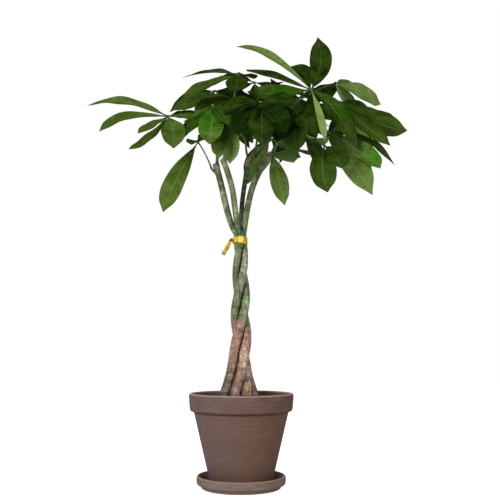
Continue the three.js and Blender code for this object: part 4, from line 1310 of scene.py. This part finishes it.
def leaf_face(name, deep, mid, pale, vein, rough):
    """A face of the blade: its colour from deep to pale by tone, partly age and partly painted light and
    shade, and its vein colour.
    """
    made, tree, shader = material(name)
    veins = use_group(tree, vein_group)
    space = own_space(tree)
    cloud = noise(tree, space, 38, Detail=3)
    mottle = noise(tree, space, 130, Detail=4, Distortion=0.8)
    # painted light and shade, partly: the tone sets how dark or pale each leaflet is
    tone_and_light = node(tree, "Attribute", attribute_name="tone").outputs["Fac"]
    uneven = sums(tree, "ADD", centred(tree, cloud, 0.5), centred(tree, mottle, 0.36))
    colour = ramp(tree, sums(tree, "ADD", tone_and_light, uneven), (0.05, deep), (0.5, mid), (1, pale))
    for across, up, reach in FRESH_AND_SHEEN:
        far = far_from(tree, space, (across, 0, up), (reach, math.inf, reach))
        ragged = sums(tree, "ADD", far, centred(tree, mottle, 2))
        # partly painted sheen: the leaf turns a brighter, more vivid green round each place
        fresh_and_sheen = ramp(tree, ragged, (0.2, 0.9), (1, 0))
        colour = blend(tree, fresh_and_sheen, colour, (0.42, 1.15, 0.25), how="MULTIPLY")
    flecks = ramp(tree, noise(tree, space, 420, Detail=2), (0.3, 0.5), (0.7, 1.2))
    colour = blend(tree, 0.45, colour, flecks, how="MULTIPLY")
    clearness = sums(tree, "MULTIPLY_ADD", tone_and_light, 1.3, 0.04)
    for kind, strength in (("Side", 0.32), ("Midrib", 0.85)):
        shown = sums(tree, "MULTIPLY", sums(tree, "MULTIPLY", veins[kind], strength), clearness)
        colour = blend(tree, shown, colour, vein)
    roughness = ramp(tree, cloud, (0.3, rough - 0.06), (0.7, rough + 0.08))
    finish(tree, shader, colour, roughness, veins["Relief"], 0.8, 0.0004)
    shader.inputs["Specular IOR Level"].default_value = 0
    return made


upper_face = leaf_face(
    "leaf upper face", deep=(0.005, 0.017, 0.0015), mid=(0.06, 0.11, 0.012), pale=(0.23, 0.34, 0.1),
    vein=(0.2, 0.29, 0.07), rough=0.46,
)
under_face = leaf_face(
    "leaf underside", deep=(0.014, 0.03, 0.005), mid=(0.08, 0.125, 0.025), pale=(0.24, 0.35, 0.12),
    vein=(0.2, 0.27, 0.09), rough=0.6,
)
stalk_face, tree, shader = material("leaf stalk")
cloud = noise(tree, own_space(tree), 90, Detail=4)
colour = ramp(tree, cloud, (0.35, (0.035, 0.06, 0.015)), (0.65, (0.1, 0.13, 0.04)))
finish(tree, shader, colour, 0.5, cloud, 0.3, 0.0005)

# %% Join each leaf and hand it over
for number, (stalk, blades) in enumerate(leaves, start=1):
    stalk.data.materials.append(stalk_face)
    for blade in blades:
        mesh = blade.data
        mesh.materials.append(upper_face)
        mesh.materials.append(under_face)
        uv_map = mesh.uv_layers.active or mesh.uv_layers.new(name="leaf")
        uv_map.name = "leaf"
        corners = np.zeros(len(mesh.loops), int)
        mesh.loops.foreach_get("vertex_index", corners)
        places = np.stack([SHARES[corners], ACROSS[corners] / 2 + 0.5], axis=1)
        uv_map.data.foreach_set("uv", places.astype(np.float32).ravel())
        only(blade)
        bpy.ops.object.shade_smooth_by_angle(angle=math.radians(50))
    only(*blades, stalk)
    bpy.ops.object.join()
    stalk.name = f"grown_leaf_{number}"
    hand_over(stalk, "leaf", f"leaf_{number:02d}")
bpy.data.objects.remove(leaflet_blank)

# %% [markdown]
# ## The photographer's table
# The plant stands on a plain white floor in a white room. The light is soft and comes from all
# round, a little stronger from the upper left, so the shadows are faint.

# %% Floor and lights
sweep = added("white sweep", bpy.ops.mesh.primitive_plane_add, size=8, location=(0, 0.5, 0))
made, tree, shader = material("white paper")
pulp = noise(tree, own_space(tree), 3, Detail=2)
tree.links.new(ramp(tree, pulp, (0.3, 0.9), (0.7, 0.93)), shader.inputs["Base Color"])
shader.inputs["Roughness"].default_value = 0.9
shader.inputs["Emission Color"].default_value = (1, 1, 1, 1)
seen_directly = node(tree, "LightPath").outputs["Is Camera Ray"]
tree.links.new(sums(tree, "MULTIPLY", seen_directly, 0.84), shader.inputs["Emission Strength"])
sweep.data.materials.append(made)
sweep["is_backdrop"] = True


def soft_light(name, place, aim, size, power):
    """A round lamp of this size in metres and power in watts, turned to its aim."""
    lamp = bpy.data.lights.new(name, "AREA")
    lamp.shape = "DISK"
    lamp.size = size
    lamp.energy = power
    made = linked(name, lamp)
    made.location = place
    made.rotation_euler = (Vector(aim) - Vector(place)).to_track_quat("-Z", "Y").to_euler()


soft_light("key", (-1.3, -2.4, 1.25), (0, 0, 0.4), 1.4, 60)
soft_light("fill", (1.9, -2.0, 0.9), (0, 0, 0.4), 1.6, 26)
soft_light("back", (-0.6, 1.8, 1.6), (0, 0, 0.5), 1.2, 14)

world = bpy.data.worlds.new("white room")
bpy.context.scene.world = world
world.use_nodes = True
tree = world.node_tree
tree.nodes.clear()
path = node(tree, "LightPath").outputs["Is Camera Ray"]
brightness = sums(tree, "MULTIPLY_ADD", path, 0.78, 0.22)
background = node(tree, "Background", {"Color": (1, 1, 1, 1), "Strength": brightness})
world_out = tree.nodes.new("ShaderNodeOutputWorld")
tree.links.new(background.outputs[0], world_out.inputs[0])
bpy.context.scene.view_settings.view_transform = "Standard"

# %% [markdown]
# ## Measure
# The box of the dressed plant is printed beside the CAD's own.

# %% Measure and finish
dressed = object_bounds()
sizes = {"cad": [list(corner) for corner in cad_box], "dressed": [list(corner) for corner in dressed]}
for name, (low, high) in sizes.items():
    print(name, [round((b - a) / MM) for a, b in zip(low, high)], "mm")
